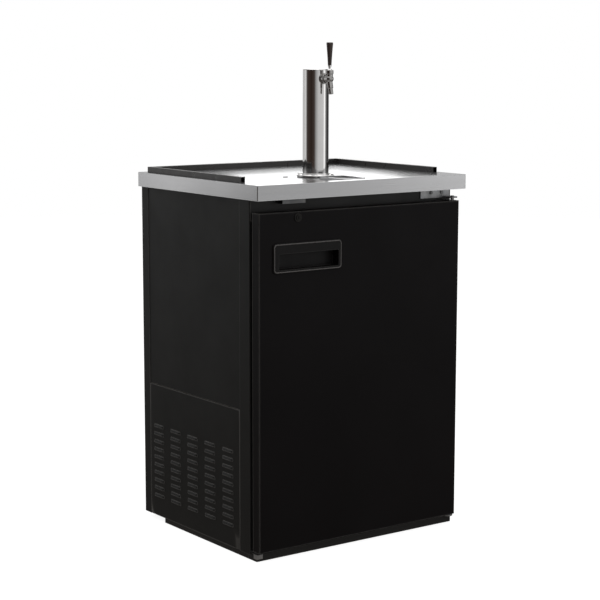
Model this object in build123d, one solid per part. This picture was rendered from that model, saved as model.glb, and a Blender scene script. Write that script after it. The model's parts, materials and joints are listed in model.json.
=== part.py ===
from build123d import *
import os
from math import cos, radians, sin

# Single-keg direct-draw beer dispenser: black cabinet, full-width door hinged on the right,
# dished stainless worktop with a chrome draught tower, condensing unit in the bottom.
# Millimetres. Origin on the floor under the middle of the worktop.
# +X to the right and +Y to the back for someone standing in front, +Z up.

# ---------------------------------------------------------------- driving dimensions
TOP_WIDTH = 704.0
TOP_DEPTH = 597.0
TOP_HEIGHT = 1000.0
FASCIA = 40.0
SHEET = 2.0
RUN_GAP = 0.06
BODY_GAP = 0.3

BODY_HALF = 341.7
BODY_FRONT = -244.8
BODY_REAR = 295.0
PANEL = 4.0
PANEL_BOTTOM = 14.7
PANEL_TOP = 985.0

BASE_HALF = 337.0
BASE_FRONT = -270.0
BASE_REAR = 195.0
BASE_HEIGHT = 20.0
RAIL_WIDTH = 40.0

CHAMBER_HALF = 300.0
CHAMBER_FLOOR = 262.0
CHAMBER_CEILING = 905.0
CHAMBER_REAR = 240.0
CHAMBER_FRONT = -225.0
LINER = 1.5
MACHINE_CEILING = 226.0
FOAM_TOP = 957.0

DOOR_HALF = 339.5
DOOR_FRONT = -285.5
DOOR_BACK = -255.0
DOOR_BOTTOM = 25.4
DOOR_TOP = 926.9
DOOR_SHEET = 1.2
PIVOT_X = 327.0
PIVOT_Y = -270.0
HINGE_PIN_R = 5.0

FLOOR_LEVEL = 994.0
TOWER_Y = -70.0
TOWER_R = 36.0
TOWER_WALL = 1.5
TOWER_TOP = 1290.7
SHANK_Z = 1264.0
LEVER_Y = -133.0
LEVER_Z = 1285.0
HANDLE_BOTTOM = 1300.5
HANDLE_TOP = 1362.0
LEVER_TOP = 1312.0

os.makedirs("parts", exist_ok=True)


# ---------------------------------------------------------------- helpers
def block(x0, x1, y0, y1, z0, z1):
    """A box from its lowest and highest coordinates."""
    size = (x1 - x0, y1 - y0, z1 - z0)
    return Pos((x0 + x1) / 2, (y0 + y1) / 2, (z0 + z1) / 2) * Box(*size)


def rod_z(x, y, z0, z1, r):
    return Pos(x, y, (z0 + z1) / 2) * Cylinder(r, z1 - z0)


def rod_y(x, z, y0, y1, r):
    return Pos(x, (y0 + y1) / 2, z) * Rot(90, 0, 0) * Cylinder(r, y1 - y0)


def rod_x(y, z, x0, x1, r):
    return Pos((x0 + x1) / 2, y, z) * Rot(0, 90, 0) * Cylinder(r, x1 - x0)


def round_block(x0, x1, y0, y1, z0, z1, r):
    """A box with its four upright edges rounded."""
    body = block(x0, x1, y0, y1, z0, z1)
    return fillet(body.edges().filter_by(Axis.Z), r)


def prism_z(points, z0, z1):
    """An upright prism on a plan outline."""
    face = make_face(Polyline(*points, close=True))
    return Pos(0, 0, z0) * extrude(face, z1 - z0)


def tube_path(points, radii, r):
    """A round hose along straight runs joined by tangent arcs."""
    path = FilletPolyline(*points, radius=radii)
    start = Plane(origin=path @ 0, z_dir=path % 0)
    return sweep(start * Circle(r), path=path)


def save(name, *solids):
    """Write one sub-part, one or more separate solids, as parts/NAME.step."""
    flat = []
    for item in solids:
        flat.extend(item.solids())
    shape = flat[0] if len(flat) == 1 else Compound(children=flat)
    export_step(shape, f"parts/{name}.step")


# ---------------------------------------------------------------- base
def base_rails():
    """Black channel plinth: front, rear and two side rails."""
    inner = BASE_HALF - RAIL_WIDTH
    front_back = BASE_FRONT + RAIL_WIDTH
    front = block(-BASE_HALF, BASE_HALF, BASE_FRONT, front_back, 0, BASE_HEIGHT)
    front = chamfer(front.edges().filter_by(Axis.X), 1.0)
    rear = block(-inner, inner, BASE_REAR - RAIL_WIDTH, BASE_REAR, 0, BASE_HEIGHT)
    sides = [
        block(-BASE_HALF, -inner, front_back, BASE_REAR, 0, BASE_HEIGHT),
        block(inner, BASE_HALF, front_back, BASE_REAR, 0, BASE_HEIGHT),
    ]
    return [front, rear] + sides


def base_pan():
    """Galvanised floor of the machine compartment."""
    return block(-BASE_HALF, BASE_HALF, BODY_FRONT + 1, 291, BASE_HEIGHT, BASE_HEIGHT + SHEET)


# ---------------------------------------------------------------- cabinet skins
LOUVRE_Y0 = -198.0
LOUVRE_Y1 = 262.0
LOUVRE_TOP = 400.0
RECESS = 1.5
FLANGE_EDGE = 302.0


def side_panel(side, recess_bottom):
    """Side skin with a shallow recessed field and the flange the door gasket seals on."""
    outer = side * BODY_HALF
    inner = side * (BODY_HALF - PANEL)
    edge = side * FLANGE_EDGE
    x0, x1 = min(outer, inner), max(outer, inner)
    skin = block(x0, x1, BODY_FRONT, BODY_REAR, PANEL_BOTTOM, PANEL_TOP)
    f0, f1 = min(outer, edge), max(outer, edge)
    skin += block(f0, f1, BODY_FRONT, BODY_FRONT + SHEET, BASE_HEIGHT + 5, CHAMBER_CEILING)
    corner = skin.edges().filter_by(Axis.Z).filter_by_position(Axis.Y, BODY_FRONT - 0.1, BODY_FRONT + 0.1)
    skin = chamfer(corner.filter_by_position(Axis.X, outer - 0.1, outer + 0.1), 1.2)
    r0, r1 = min(outer, outer - side * RECESS), max(outer, outer - side * RECESS)
    return skin - block(r0, r1, LOUVRE_Y0, LOUVRE_Y1, recess_bottom, PANEL_TOP)


def left_side_panel():
    panel = side_panel(-1, LOUVRE_TOP)
    window = block(-BODY_HALF, -BODY_HALF + PANEL, LOUVRE_Y0, LOUVRE_Y1, PANEL_BOTTOM, LOUVRE_TOP)
    return panel - window


LOUVRE_COLUMNS = 5
LOUVRE_ROWS = 10
LOUVRE_LENGTH = 50.0
LOUVRE_PITCH_Y = 88.6
LOUVRE_PITCH_Z = 22.6
LOUVRE_MID_Y = 38.0
LOUVRE_FIRST_Z = 72.0
LOUVRE_SLOT = 8.0
LOUVRE_PROUD = 4.0


def louvre_profile(x_face, z, proud, drop):
    """Section of one pressed hood, open at its lower edge."""
    outline = [
        (x_face, 0, z + LOUVRE_SLOT),
        (x_face - proud, 0, z + drop),
        (x_face - proud, 0, z),
        (x_face, 0, z),
    ]
    return make_face(Polyline(*outline, close=True))


def louvred_side_panel():
    """Removable vented panel: five columns of ten hoods pressed outwards."""
    face_x = -BODY_HALF
    plate = block(face_x, face_x + SHEET, LOUVRE_Y0 + 0.6, LOUVRE_Y1 - 0.6, PANEL_BOTTOM + 1, LOUVRE_TOP - 0.8)
    top_edge = plate.edges().filter_by(Axis.Y).sort_by(Axis.Z)[-2:].sort_by(Axis.X)[0]
    plate = chamfer(top_edge, 1.0)
    hoods = []
    slots = []
    for column in range(LOUVRE_COLUMNS):
        y = LOUVRE_MID_Y + (column - (LOUVRE_COLUMNS - 1) / 2) * LOUVRE_PITCH_Y
        for row in range(LOUVRE_ROWS):
            z = LOUVRE_FIRST_Z + row * LOUVRE_PITCH_Z
            outer = extrude(louvre_profile(face_x, z, LOUVRE_PROUD, 3.0), LOUVRE_LENGTH / 2, dir=(0, 1, 0), both=True)
            inner = extrude(
                louvre_profile(face_x, z - 1.0, LOUVRE_PROUD - 1.0, 3.0),
                LOUVRE_LENGTH / 2 - 1.2,
                dir=(0, 1, 0),
                both=True,
            )
            hoods.append(Pos(0, y, 0) * (outer - inner))
            half = LOUVRE_LENGTH / 2 - 1.2
            slots.append(block(face_x - 0.1, face_x + SHEET + 0.1, y - half, y + half, z, z + LOUVRE_SLOT - 1.0))
    plate = plate.cut(*slots)
    return plate.fuse(*hoods)


BACK_INNER = 292.0
BACK_OUTER = 294.5
BACK_SEAM = 300.0
GAS_X = 235.0
GAS_Z = 330.0
GAS_BORE_R = 6.0
GAS_SLEEVE_R = 9.0
GAS_FLANGE_R = 14.0


def back_panel():
    """Upper rear skin with two shallow stiffening grooves."""
    panel = block(-BODY_HALF + PANEL, BODY_HALF - PANEL, BACK_INNER, BACK_OUTER, BACK_SEAM, PANEL_TOP)
    for x in (-150, 150):
        panel -= block(x - 12, x + 12, BACK_OUTER - 1.2, BACK_OUTER + 0.1, 380, 900)
    return panel - rod_y(GAS_X, GAS_Z, BACK_INNER - 1, BACK_OUTER + 1, GAS_SLEEVE_R)


VENT_COLUMNS = 4
VENT_ROWS = 9
VENT_PITCH_X = 115.0
VENT_PITCH_Z = 20.0
VENT_FIRST_X = -210.0
VENT_FIRST_Z = 70.0
VENT_HALF = 40.0
INLET_X = 275.0
INLET_Z = 90.0


def rear_vent_cover():
    """Lower rear cover with rows of exhaust slots and the opening for the mains inlet."""
    half_x = BODY_HALF - PANEL
    cover = block(-half_x, half_x, BACK_INNER, BACK_OUTER, BASE_HEIGHT + SHEET, BACK_SEAM - 1)
    slots = []
    for column in range(VENT_COLUMNS):
        for row in range(VENT_ROWS):
            x = VENT_FIRST_X + column * VENT_PITCH_X
            z = VENT_FIRST_Z + row * VENT_PITCH_Z
            slots.append(round_slot(x, z))
    cover = cover.cut(*slots)
    return cover - block(
        INLET_X - 14, INLET_X + 14, BACK_INNER - 1, BACK_OUTER + 1, INLET_Z - 10.5, INLET_Z + 10.5
    )


def round_slot(x, z):
    """Cutter of one exhaust slot with rounded ends."""
    slot = block(x - VENT_HALF, x + VENT_HALF, BACK_INNER - 1, BACK_OUTER + 1, z - 3, z + 3)
    return fillet(slot.edges().filter_by(Axis.Y), 2.9)


def power_inlet():
    """Mains inlet socket: flange outside, body inside, three contact blades."""
    front = BACK_OUTER + 2.5
    back = BACK_OUTER - 24.5
    flange = block(INLET_X - 25, INLET_X + 25, BACK_OUTER, front, INLET_Z - 14, INLET_Z + 14)
    flange = fillet(flange.edges().filter_by(Axis.Y), 4)
    body = block(INLET_X - 13.5, INLET_X + 13.5, back, BACK_OUTER, INLET_Z - 10, INLET_Z + 10)
    inlet = flange + body
    well = block(INLET_X - 11.5, INLET_X + 11.5, back + 6, front, INLET_Z - 8, INLET_Z + 8)
    inlet -= fillet(well.edges().filter_by(Axis.Y), 2)
    for x, z in ((-7, -2), (7, -2), (0, 3)):
        blade_x, blade_z = INLET_X + x, INLET_Z + z
        inlet += block(blade_x - 1, blade_x + 1, back + 5, front - 6, blade_z - 2, blade_z + 2)
    return inlet


def front_header():
    """Strip of body between the keg chamber and the worktop."""
    edge = BODY_HALF - PANEL - 0.2
    header = block(-edge, edge, BODY_FRONT, BODY_FRONT + SHEET, CHAMBER_CEILING, FOAM_TOP)
    return header + block(-edge, edge, BODY_FRONT, BODY_FRONT + 20, FOAM_TOP - SHEET, FOAM_TOP)


def front_apron():
    """Panel behind the lower part of the door, in front of the machine compartment."""
    edge = FLANGE_EDGE
    return block(-edge, edge, BODY_FRONT, BODY_FRONT + SHEET, BASE_HEIGHT + SHEET, 256)


def breaker_strips():
    """Plastic thermal break round the chamber mouth, in four lengths."""
    out = FLANGE_EDGE
    clear = CHAMBER_HALF - 4
    y0 = BODY_FRONT + SHEET
    low = CHAMBER_FLOOR - 6
    high = CHAMBER_CEILING + 5
    return [
        block(-out, -clear, BODY_FRONT, CHAMBER_FRONT, low + 6, high - 5),
        block(clear, out, BODY_FRONT, CHAMBER_FRONT, low + 6, high - 5),
        block(-out, out, BODY_FRONT, CHAMBER_FRONT, low, low + 6),
        block(-out, out, y0, CHAMBER_FRONT, high - 5, high),
    ]


SUCTION_X = 170.0
SUCTION_Y = 225.0
SUCTION_HOLES = ((SUCTION_X, SUCTION_Y), (SUCTION_X + 18, SUCTION_Y))
SUCTION_HOLE_R = 7.0


def foam_insulation():
    """Rigid foam: two sides, rear, floor and ceiling slabs."""
    skin = BODY_HALF - PANEL
    inside = CHAMBER_HALF + LINER
    front = BODY_FRONT + SHEET
    rear = CHAMBER_REAR + LINER
    back = BACK_INNER
    slab_front = CHAMBER_FRONT
    left = block(-skin, -inside, slab_front, back, MACHINE_CEILING, FOAM_TOP - SHEET)
    right = block(inside, skin, slab_front, back, MACHINE_CEILING, FOAM_TOP - SHEET)
    behind = block(-inside, inside, rear, back, MACHINE_CEILING, FOAM_TOP - SHEET)
    behind -= rod_y(GAS_X, GAS_Z, rear - 1, back + 1, GAS_SLEEVE_R)
    floor = block(-inside, inside, front, rear, MACHINE_CEILING, CHAMBER_FLOOR - 6)
    over = block(-inside, inside, slab_front, rear, CHAMBER_CEILING + LINER + 4, FOAM_TOP - SHEET)
    over -= rod_z(0, TOWER_Y, 900, 960, 30)
    for x, y in SUCTION_HOLES:
        floor -= rod_z(x, y, MACHINE_CEILING - 1, CHAMBER_FLOOR, SUCTION_HOLE_R)
    return [left, right, behind, floor, over]


def chamber_liner():
    """Pale liner plates of the keg chamber: floor, ceiling, two sides and rear."""
    half = CHAMBER_HALF
    floor = block(-half, half, CHAMBER_FRONT, CHAMBER_REAR, CHAMBER_FLOOR - LINER, CHAMBER_FLOOR)
    for x, y in SUCTION_HOLES:
        floor -= rod_z(x, y, CHAMBER_FLOOR - 5, CHAMBER_FLOOR + 1, SUCTION_HOLE_R)
    ceiling = block(-half, half, CHAMBER_FRONT, CHAMBER_REAR, CHAMBER_CEILING, CHAMBER_CEILING + LINER)
    ceiling -= rod_z(0, TOWER_Y, 900, 910, 28)
    left = block(-half - LINER, -half, CHAMBER_FRONT, CHAMBER_REAR, CHAMBER_FLOOR, CHAMBER_CEILING)
    right = block(half, half + LINER, CHAMBER_FRONT, CHAMBER_REAR, CHAMBER_FLOOR, CHAMBER_CEILING)
    rear = block(-half, half, CHAMBER_REAR, CHAMBER_REAR + LINER, CHAMBER_FLOOR, CHAMBER_CEILING)
    rear -= rod_y(GAS_X, GAS_Z, CHAMBER_REAR - 1, CHAMBER_REAR + 3, GAS_SLEEVE_R)
    return [floor, ceiling, left, right, rear]


def gas_line_grommet():
    """Rubber sleeve through the rear wall for the gas hose."""
    sleeve = rod_y(GAS_X, GAS_Z, CHAMBER_REAR - 3, BACK_OUTER + 2.5, GAS_SLEEVE_R)
    sleeve += rod_y(GAS_X, GAS_Z, BACK_OUTER, BACK_OUTER + 3, GAS_FLANGE_R)
    sleeve += rod_y(GAS_X, GAS_Z, CHAMBER_REAR - 4, CHAMBER_REAR - 0.2, GAS_FLANGE_R)
    return sleeve - rod_y(GAS_X, GAS_Z, CHAMBER_REAR - 10, BACK_OUTER + 5, GAS_BORE_R)


# ---------------------------------------------------------------- worktop
DISH_TOP = (-318.0, 318.0, -266.0, 258.0)
DISH_FLOOR = (-228.0, 228.0, -252.0, 150.0)
PAN_HALF_X = 42.0
PAN_Y0 = -247.0
PAN_Y1 = -137.0
PAN_RIM = 5.0
WELL_CLEAR = 0.8
PLUG_X = -78.0
PLUG_Y = -36.0
TOWER_HOLE_R = 30.0


def plan_rectangle(bounds, z):
    x0, x1, y0, y1 = bounds
    return Pos((x0 + x1) / 2, (y0 + y1) / 2, z) * Rectangle(x1 - x0, y1 - y0)


def dish():
    """Shallow dished field: a level floor with slopes that meet in mitred creases."""
    return loft([plan_rectangle(DISH_FLOOR, FLOOR_LEVEL), plan_rectangle(DISH_TOP, TOP_HEIGHT)])


def pan_hole(extra, z0, z1):
    inset = PAN_RIM - extra
    return round_block(
        -PAN_HALF_X + inset,
        PAN_HALF_X - inset,
        PAN_Y0 + inset,
        PAN_Y1 - inset,
        z0,
        z1,
        9 + extra,
    )


def worktop():
    """Stainless top with a down-turned fascia on all four sides."""
    half_x = TOP_WIDTH / 2
    half_y = TOP_DEPTH / 2
    top = round_block(-half_x, half_x, -half_y, half_y, TOP_HEIGHT - FASCIA, TOP_HEIGHT, 3)
    upper = top.edges().group_by(Axis.Z)[-1]
    top = fillet(upper, 1.5)
    wall = SHEET
    top -= block(-half_x + wall, half_x - wall, -half_y + wall, half_y - wall, TOP_HEIGHT - FASCIA - 1, 990)
    top -= dish()
    top -= rod_z(0, TOWER_Y, 980, 1005, TOWER_HOLE_R)
    top -= pan_hole(WELL_CLEAR, 980, 1005)
    return top - rod_z(PLUG_X, PLUG_Y, 980, 1005, 5.1)


def worktop_core():
    """Moisture-resistant board that stiffens the worktop."""
    board = block(-336, 336, -242, 290, FOAM_TOP + 0.5, 989.8)
    board -= rod_z(0, TOWER_Y, 950, 995, TOWER_HOLE_R)
    board -= rod_z(PLUG_X, PLUG_Y, 975, 995, 8)
    well = block(-PAN_HALF_X, PAN_HALF_X, -243, PAN_Y1, 966, 995)
    return board - well


GUARD_HALF = 333.9
GUARD_REAR = 274.5
GUARD_FRONT = -194.9
GUARD_HEIGHT = 15.2
GUARD_WIDTH = 14.0
GUARD_WALL = 1.6


def guard_length(outline_of):
    """One length of hollow square guard rail from its plan outline at a given inset."""
    z0 = TOP_HEIGHT
    z1 = TOP_HEIGHT + GUARD_HEIGHT
    outer = prism_z(outline_of(0), z0, z1)
    inner = prism_z(outline_of(GUARD_WALL), z0 + GUARD_WALL, z1 - GUARD_WALL)
    return outer - inner


def rear_outline(inset):
    a = GUARD_HALF - inset
    b = GUARD_HALF - GUARD_WIDTH + inset
    y1 = GUARD_REAR - inset
    y0 = GUARD_REAR - GUARD_WIDTH + inset
    return [(-a, y1), (a, y1), (b, y0), (-b, y0)]


def side_outline(side):
    def outline(inset):
        a = side * (GUARD_HALF - inset)
        b = side * (GUARD_HALF - GUARD_WIDTH + inset)
        y1 = GUARD_REAR - inset
        y0 = GUARD_REAR - GUARD_WIDTH + inset
        return [(a, y1), (a, GUARD_FRONT), (b, GUARD_FRONT), (b, y0)]

    return outline


def guard_rail():
    """Black guard rail on three sides of the worktop, mitred at the rear corners."""
    return [guard_length(rear_outline), guard_length(side_outline(-1)), guard_length(side_outline(1))]


def worktop_plug():
    """Snap-in plug that closes the spare hole in the worktop."""
    head = rod_z(PLUG_X, PLUG_Y, FLOOR_LEVEL, FLOOR_LEVEL + 2, 8)
    head = fillet(head.edges().group_by(Axis.Z)[-1], 1.2)
    return head + rod_z(PLUG_X, PLUG_Y, 984, FLOOR_LEVEL, 5.0)


PAN_FLOOR = 970.0


def drip_pan():
    """Removable stainless drip pan with a rolled rim that rests on the worktop."""
    rim_low = FLOOR_LEVEL + BODY_GAP
    rim = round_block(-PAN_HALF_X, PAN_HALF_X, PAN_Y0, PAN_Y1, rim_low, 1001, 13)
    rim = fillet(rim.edges().group_by(Axis.Z)[-1], 1.6)
    pan = rim + pan_hole(0, PAN_FLOOR, rim_low)
    cavity = pan_hole(-1.5, PAN_FLOOR + 1.5, 1002)
    return pan - cavity


GRILLE_TOP = 998.0
GRILLE_SLOTS = 9


def drip_grille():
    """Black slotted grille on two long feet that stand in the pan."""
    grille = pan_hole(-2.2, GRILLE_TOP - 3, GRILLE_TOP)
    pitch = 10.0
    for index in range(GRILLE_SLOTS):
        y = (PAN_Y0 + PAN_Y1) / 2 + (index - (GRILLE_SLOTS - 1) / 2) * pitch
        grille -= block(-27, 27, y - 2.6, y + 2.6, GRILLE_TOP - 4, GRILLE_TOP + 1)
    for x in (-31, 31):
        grille += block(x - 1.5, x + 1.5, PAN_Y0 + 20, PAN_Y1 - 20, PAN_FLOOR + 1.8, GRILLE_TOP - 3)
    return grille


# ---------------------------------------------------------------- tower and faucet
FLANGE_R = 52.0


def tower_gasket():
    ring = rod_z(0, TOWER_Y, FLOOR_LEVEL, FLOOR_LEVEL + 1, FLANGE_R - 1)
    return ring - rod_z(0, TOWER_Y, 990, 1000, TOWER_HOLE_R)


def screw_places(count, radius, start):
    for index in range(count):
        angle = radians(start + 360 * index / count)
        yield radius * cos(angle), TOWER_Y + radius * sin(angle)


def tower_flange():
    """Cast foot of the tower, screwed to the worktop."""
    foot = rod_z(0, TOWER_Y, FLOOR_LEVEL + 1, FLOOR_LEVEL + 7, FLANGE_R)
    foot = fillet(foot.edges().group_by(Axis.Z)[-1], 2.5)
    foot += rod_z(0, TOWER_Y, FLOOR_LEVEL + 7, FLOOR_LEVEL + 11, TOWER_R + 3)
    foot -= rod_z(0, TOWER_Y, FLOOR_LEVEL, FLOOR_LEVEL + 12, TOWER_R)
    for x, y in screw_places(4, 45.5, 45):
        foot -= rod_z(x, y, 990, 1005, 2.4)
    return foot


def tower_screws():
    """Four pan-head screws that hold the tower."""
    screws = []
    for x, y in screw_places(4, 45.5, 45):
        head = rod_z(x, y, FLOOR_LEVEL + 7, FLOOR_LEVEL + 9.6, 4.2)
        head = fillet(head.edges().group_by(Axis.Z)[-1], 1.2)
        head -= block(x - 3.2, x + 3.2, y - 0.6, y + 0.6, FLOOR_LEVEL + 8.6, FLOOR_LEVEL + 10)
        screws.append(head + rod_z(x, y, FLOOR_LEVEL + 1.2, FLOOR_LEVEL + 7, 2.3))
    return screws


def tower_column():
    """Chrome column tube with the faucet hole near its top."""
    tube = rod_z(0, TOWER_Y, FLOOR_LEVEL + 1, TOWER_TOP - 4, TOWER_R)
    tube -= rod_z(0, TOWER_Y, 990, TOWER_TOP, TOWER_R - TOWER_WALL)
    return tube - rod_y(0, SHANK_Z, TOWER_Y - 40, TOWER_Y, 11.1)


def tower_cap():
    """Push-fit lid with a skirt inside the column."""
    lid = rod_z(0, TOWER_Y, TOWER_TOP - 4, TOWER_TOP, TOWER_R)
    lid = fillet(lid.edges().group_by(Axis.Z)[-1], 3)
    skirt = rod_z(0, TOWER_Y, TOWER_TOP - 11, TOWER_TOP - 4, TOWER_R - TOWER_WALL - 0.1)
    skirt -= rod_z(0, TOWER_Y, TOWER_TOP - 12, TOWER_TOP - 4, TOWER_R - TOWER_WALL - 3)
    return lid + skirt


FACE_Y = TOWER_Y - TOWER_R
ELBOW_Y = TOWER_Y - 6
SHANK_R = 11.0
SHANK_BORE = 4.0
COLLAR_Y = FACE_Y - 4.5
NUT_Y0 = COLLAR_Y - 8.2
NUT_Y1 = COLLAR_Y - 0.2
NUT_R = 13.5


def faucet_shank():
    """Threaded shank with its outer collar and the elbow tail inside the column."""
    shank = rod_y(0, SHANK_Z, COLLAR_Y - 5.5, ELBOW_Y, SHANK_R)
    collar = rod_y(0, SHANK_Z, COLLAR_Y, FACE_Y + 0.3, 15)
    saddle = rod_z(0, TOWER_Y, SHANK_Z - 20, SHANK_Z + 20, TOWER_R)
    shank += collar - saddle
    shank += Pos(0, ELBOW_Y, SHANK_Z) * Sphere(SHANK_R)
    shank += rod_z(0, ELBOW_Y, SHANK_Z - 24, SHANK_Z, 6)
    shank -= rod_y(0, SHANK_Z, COLLAR_Y - 7, ELBOW_Y, SHANK_BORE)
    return shank - rod_z(0, ELBOW_Y, SHANK_Z - 25, SHANK_Z, 3)


def coupling_nut():
    """Ring nut that clamps the faucet to the shank, with spanner notches."""
    nut = rod_y(0, SHANK_Z, NUT_Y0, NUT_Y1, NUT_R)
    nut = chamfer(nut.edges().filter_by(GeomType.CIRCLE), 0.8)
    nut -= rod_y(0, SHANK_Z, NUT_Y0 - 1, NUT_Y1 + 1, SHANK_R + 0.05)
    for angle in range(0, 360, 60):
        x = NUT_R * sin(radians(angle))
        z = SHANK_Z + NUT_R * cos(radians(angle))
        nut -= rod_y(x, z, NUT_Y0 + 2, NUT_Y1 - 2, 2.0)
    return nut


BALL_R = 7.5
LEVER_R = 3.5
SHAFT_R = 3.5
BARREL_R = 11.0
BONNET_R = 10.5
SPOUT_LENGTH = 38.0
SPOUT_LEAN = 12.0


def faucet_body():
    """Chrome faucet: barrel, upright valve chamber with its bonnet, and the spout."""
    barrel = rod_y(0, SHANK_Z, LEVER_Y, NUT_Y0 - 0.2, BARREL_R)
    barrel += rod_y(0, SHANK_Z, NUT_Y0 - 0.2, NUT_Y0 + 1.6, SHANK_R - 0.1)
    nose = Pos(0, LEVER_Y, SHANK_Z) * Sphere(BARREL_R)
    chamber = rod_z(0, LEVER_Y, SHANK_Z, LEVER_Z, BONNET_R - 1.5)
    bonnet = rod_z(0, LEVER_Y, SHANK_Z + 13, LEVER_Z + 3, BONNET_R)
    bonnet = chamfer(bonnet.edges().group_by(Axis.Z)[-1], 1)
    spout_root = Pos(0, LEVER_Y + 1, SHANK_Z - 4) * Rot(-SPOUT_LEAN, 0, 0)
    spout = spout_root * rod_z(0, 0, -22, 0, 8)
    spout += spout_root * rod_z(0, 0, -SPOUT_LENGTH, 0, 6.4)
    body = barrel + nose + chamber + bonnet + spout
    body -= spout_root * rod_z(0, 0, -SPOUT_LENGTH - 1, -14, 4.4)
    body -= rod_y(0, SHANK_Z, LEVER_Y - 10.2, NUT_Y0 + 3, SHAFT_R + RUN_GAP)
    body -= block(-2.6, 2.6, LEVER_Y - 4, LEVER_Y + 14, SHANK_Z - 6, SHANK_Z + 9)
    body -= block(-2.6, 2.6, LEVER_Y - 4, LEVER_Y + 7.9, SHANK_Z + 9, LEVER_Z - 5)
    body -= Pos(0, LEVER_Y, LEVER_Z) * Sphere(BALL_R + RUN_GAP)
    return body - rod_z(0, LEVER_Y, LEVER_Z, LEVER_Z + 5, BALL_R + RUN_GAP)


def valve_shaft():
    """Sliding valve shaft with the slot that the lever's finger works in."""
    shaft = rod_y(0, SHANK_Z, LEVER_Y - 9.8, LEVER_Y + 9.5, SHAFT_R)
    return shaft - block(-2.3, 2.3, LEVER_Y - 4.2, LEVER_Y + 5.2, SHANK_Z - 5, SHANK_Z + 5)


def tap_lever():
    """Lever: ball in the bonnet, threaded neck above, finger below."""
    lever = Pos(0, LEVER_Y, LEVER_Z) * Sphere(BALL_R)
    lever += rod_z(0, LEVER_Y, LEVER_Z, LEVER_TOP, LEVER_R)
    lever += rod_z(0, LEVER_Y, HANDLE_BOTTOM - 3.5, HANDLE_BOTTOM, 5)
    return lever + rod_z(0, LEVER_Y, SHANK_Z - 2.5, LEVER_Z, 2.0)


def tap_handle():
    """Short tapered tap handle, screwed onto the lever."""
    low = Pos(0, LEVER_Y, HANDLE_BOTTOM) * Circle(5.0)
    high = Pos(0, LEVER_Y, HANDLE_TOP) * Circle(9.4)
    handle = loft([low, high])
    handle = fillet(handle.edges().group_by(Axis.Z)[-1], 2.5)
    return handle - rod_z(0, LEVER_Y, HANDLE_BOTTOM - 1, LEVER_TOP + 0.1, LEVER_R)


# ---------------------------------------------------------------- beer line
LINE_R = 4.75
LINE_WALL_X = 284.0
LINE_END_Z = 600.0


def beer_line():
    """Hose from the shank tail down the column, under the ceiling and down the right wall."""
    route = [
        (0, ELBOW_Y, SHANK_Z - 24),
        (0, ELBOW_Y, 866),
        (LINE_WALL_X, ELBOW_Y, 866),
        (LINE_WALL_X, ELBOW_Y, LINE_END_Z),
    ]
    return tube_path(route, [90, 90], LINE_R)


def line_clips():
    """Saddle clips of the beer line: one under the ceiling, two on the right wall."""
    ceiling = block(136, 150, ELBOW_Y - 9, ELBOW_Y + 9, 858, CHAMBER_CEILING)
    ceiling -= rod_x(ELBOW_Y, 866, 130, 155, LINE_R + 0.1)
    clips = [ceiling]
    for z in (740, 640):
        clip = block(276, CHAMBER_HALF, ELBOW_Y - 9, ELBOW_Y + 9, z - 7, z + 7)
        clips.append(clip - rod_z(LINE_WALL_X, ELBOW_Y, z - 8, z + 8, LINE_R + 0.1))
    return clips


def line_connector():
    """Hexagonal union nut and tail that meet the keg coupler."""
    hexagon = Pos(LINE_WALL_X, ELBOW_Y, LINE_END_Z - 26) * extrude(RegularPolygon(12, 6), 14)
    tail = rod_z(LINE_WALL_X, ELBOW_Y, LINE_END_Z - 12, LINE_END_Z, 6.5)
    return hexagon + tail - rod_z(LINE_WALL_X, ELBOW_Y, LINE_END_Z - 27, LINE_END_Z + 1, 3)


# ---------------------------------------------------------------- evaporator in the chamber
EVAP_X = 200.0
EVAP_Y = 150.0
EVAP_Z = 800.0
EVAP_FAN_X = 95.0
EVAP_FAN_Z = 852.0
EVAP_FAN_R = 42.0
FIN_COUNT = 14


def evaporator_housing():
    """Air cooler casing under the ceiling with its fan ring, fan motor and drain lip."""
    wall = LINER
    y1 = CHAMBER_REAR
    z1 = CHAMBER_CEILING
    shell = block(-EVAP_X, EVAP_X, EVAP_Y, y1, EVAP_Z, z1)
    shell -= block(-EVAP_X + wall, EVAP_X - wall, EVAP_Y + wall, y1 + 1, EVAP_Z + wall, z1 + 1)
    shell -= rod_y(EVAP_FAN_X, EVAP_FAN_Z, EVAP_Y - 1, EVAP_Y + 5, EVAP_FAN_R + 3)
    for radius in (18, 31):
        ring = rod_y(EVAP_FAN_X, EVAP_FAN_Z, EVAP_Y, EVAP_Y + wall, radius + 1)
        shell += ring - rod_y(EVAP_FAN_X, EVAP_FAN_Z, EVAP_Y - 1, EVAP_Y + 5, radius - 1)
    reach = EVAP_FAN_R + 4
    shell += block(EVAP_FAN_X - reach, EVAP_FAN_X + reach, EVAP_Y, EVAP_Y + wall, EVAP_FAN_Z - 1, EVAP_FAN_Z + 1)
    shell += block(EVAP_FAN_X - 1, EVAP_FAN_X + 1, EVAP_Y, EVAP_Y + wall, EVAP_FAN_Z - reach, EVAP_FAN_Z + reach)
    intakes = [block(x, x + 60, 165, 230, EVAP_Z - 1, EVAP_Z + 3) for x in (-180, -105, -30)]
    intakes.append(block(SUCTION_X - 10, SUCTION_X + 26, 212, 238, EVAP_Z - 1, EVAP_Z + 3))
    shell = shell.cut(*intakes)
    motor = rod_y(EVAP_FAN_X, EVAP_FAN_Z, 186, 226, 22) + rod_y(EVAP_FAN_X, EVAP_FAN_Z, 160, 187, 2.5)
    motor += block(EVAP_FAN_X - 4, EVAP_FAN_X + 4, 200, 210, EVAP_FAN_Z - 51, EVAP_FAN_Z - 20)
    return shell + motor


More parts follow.
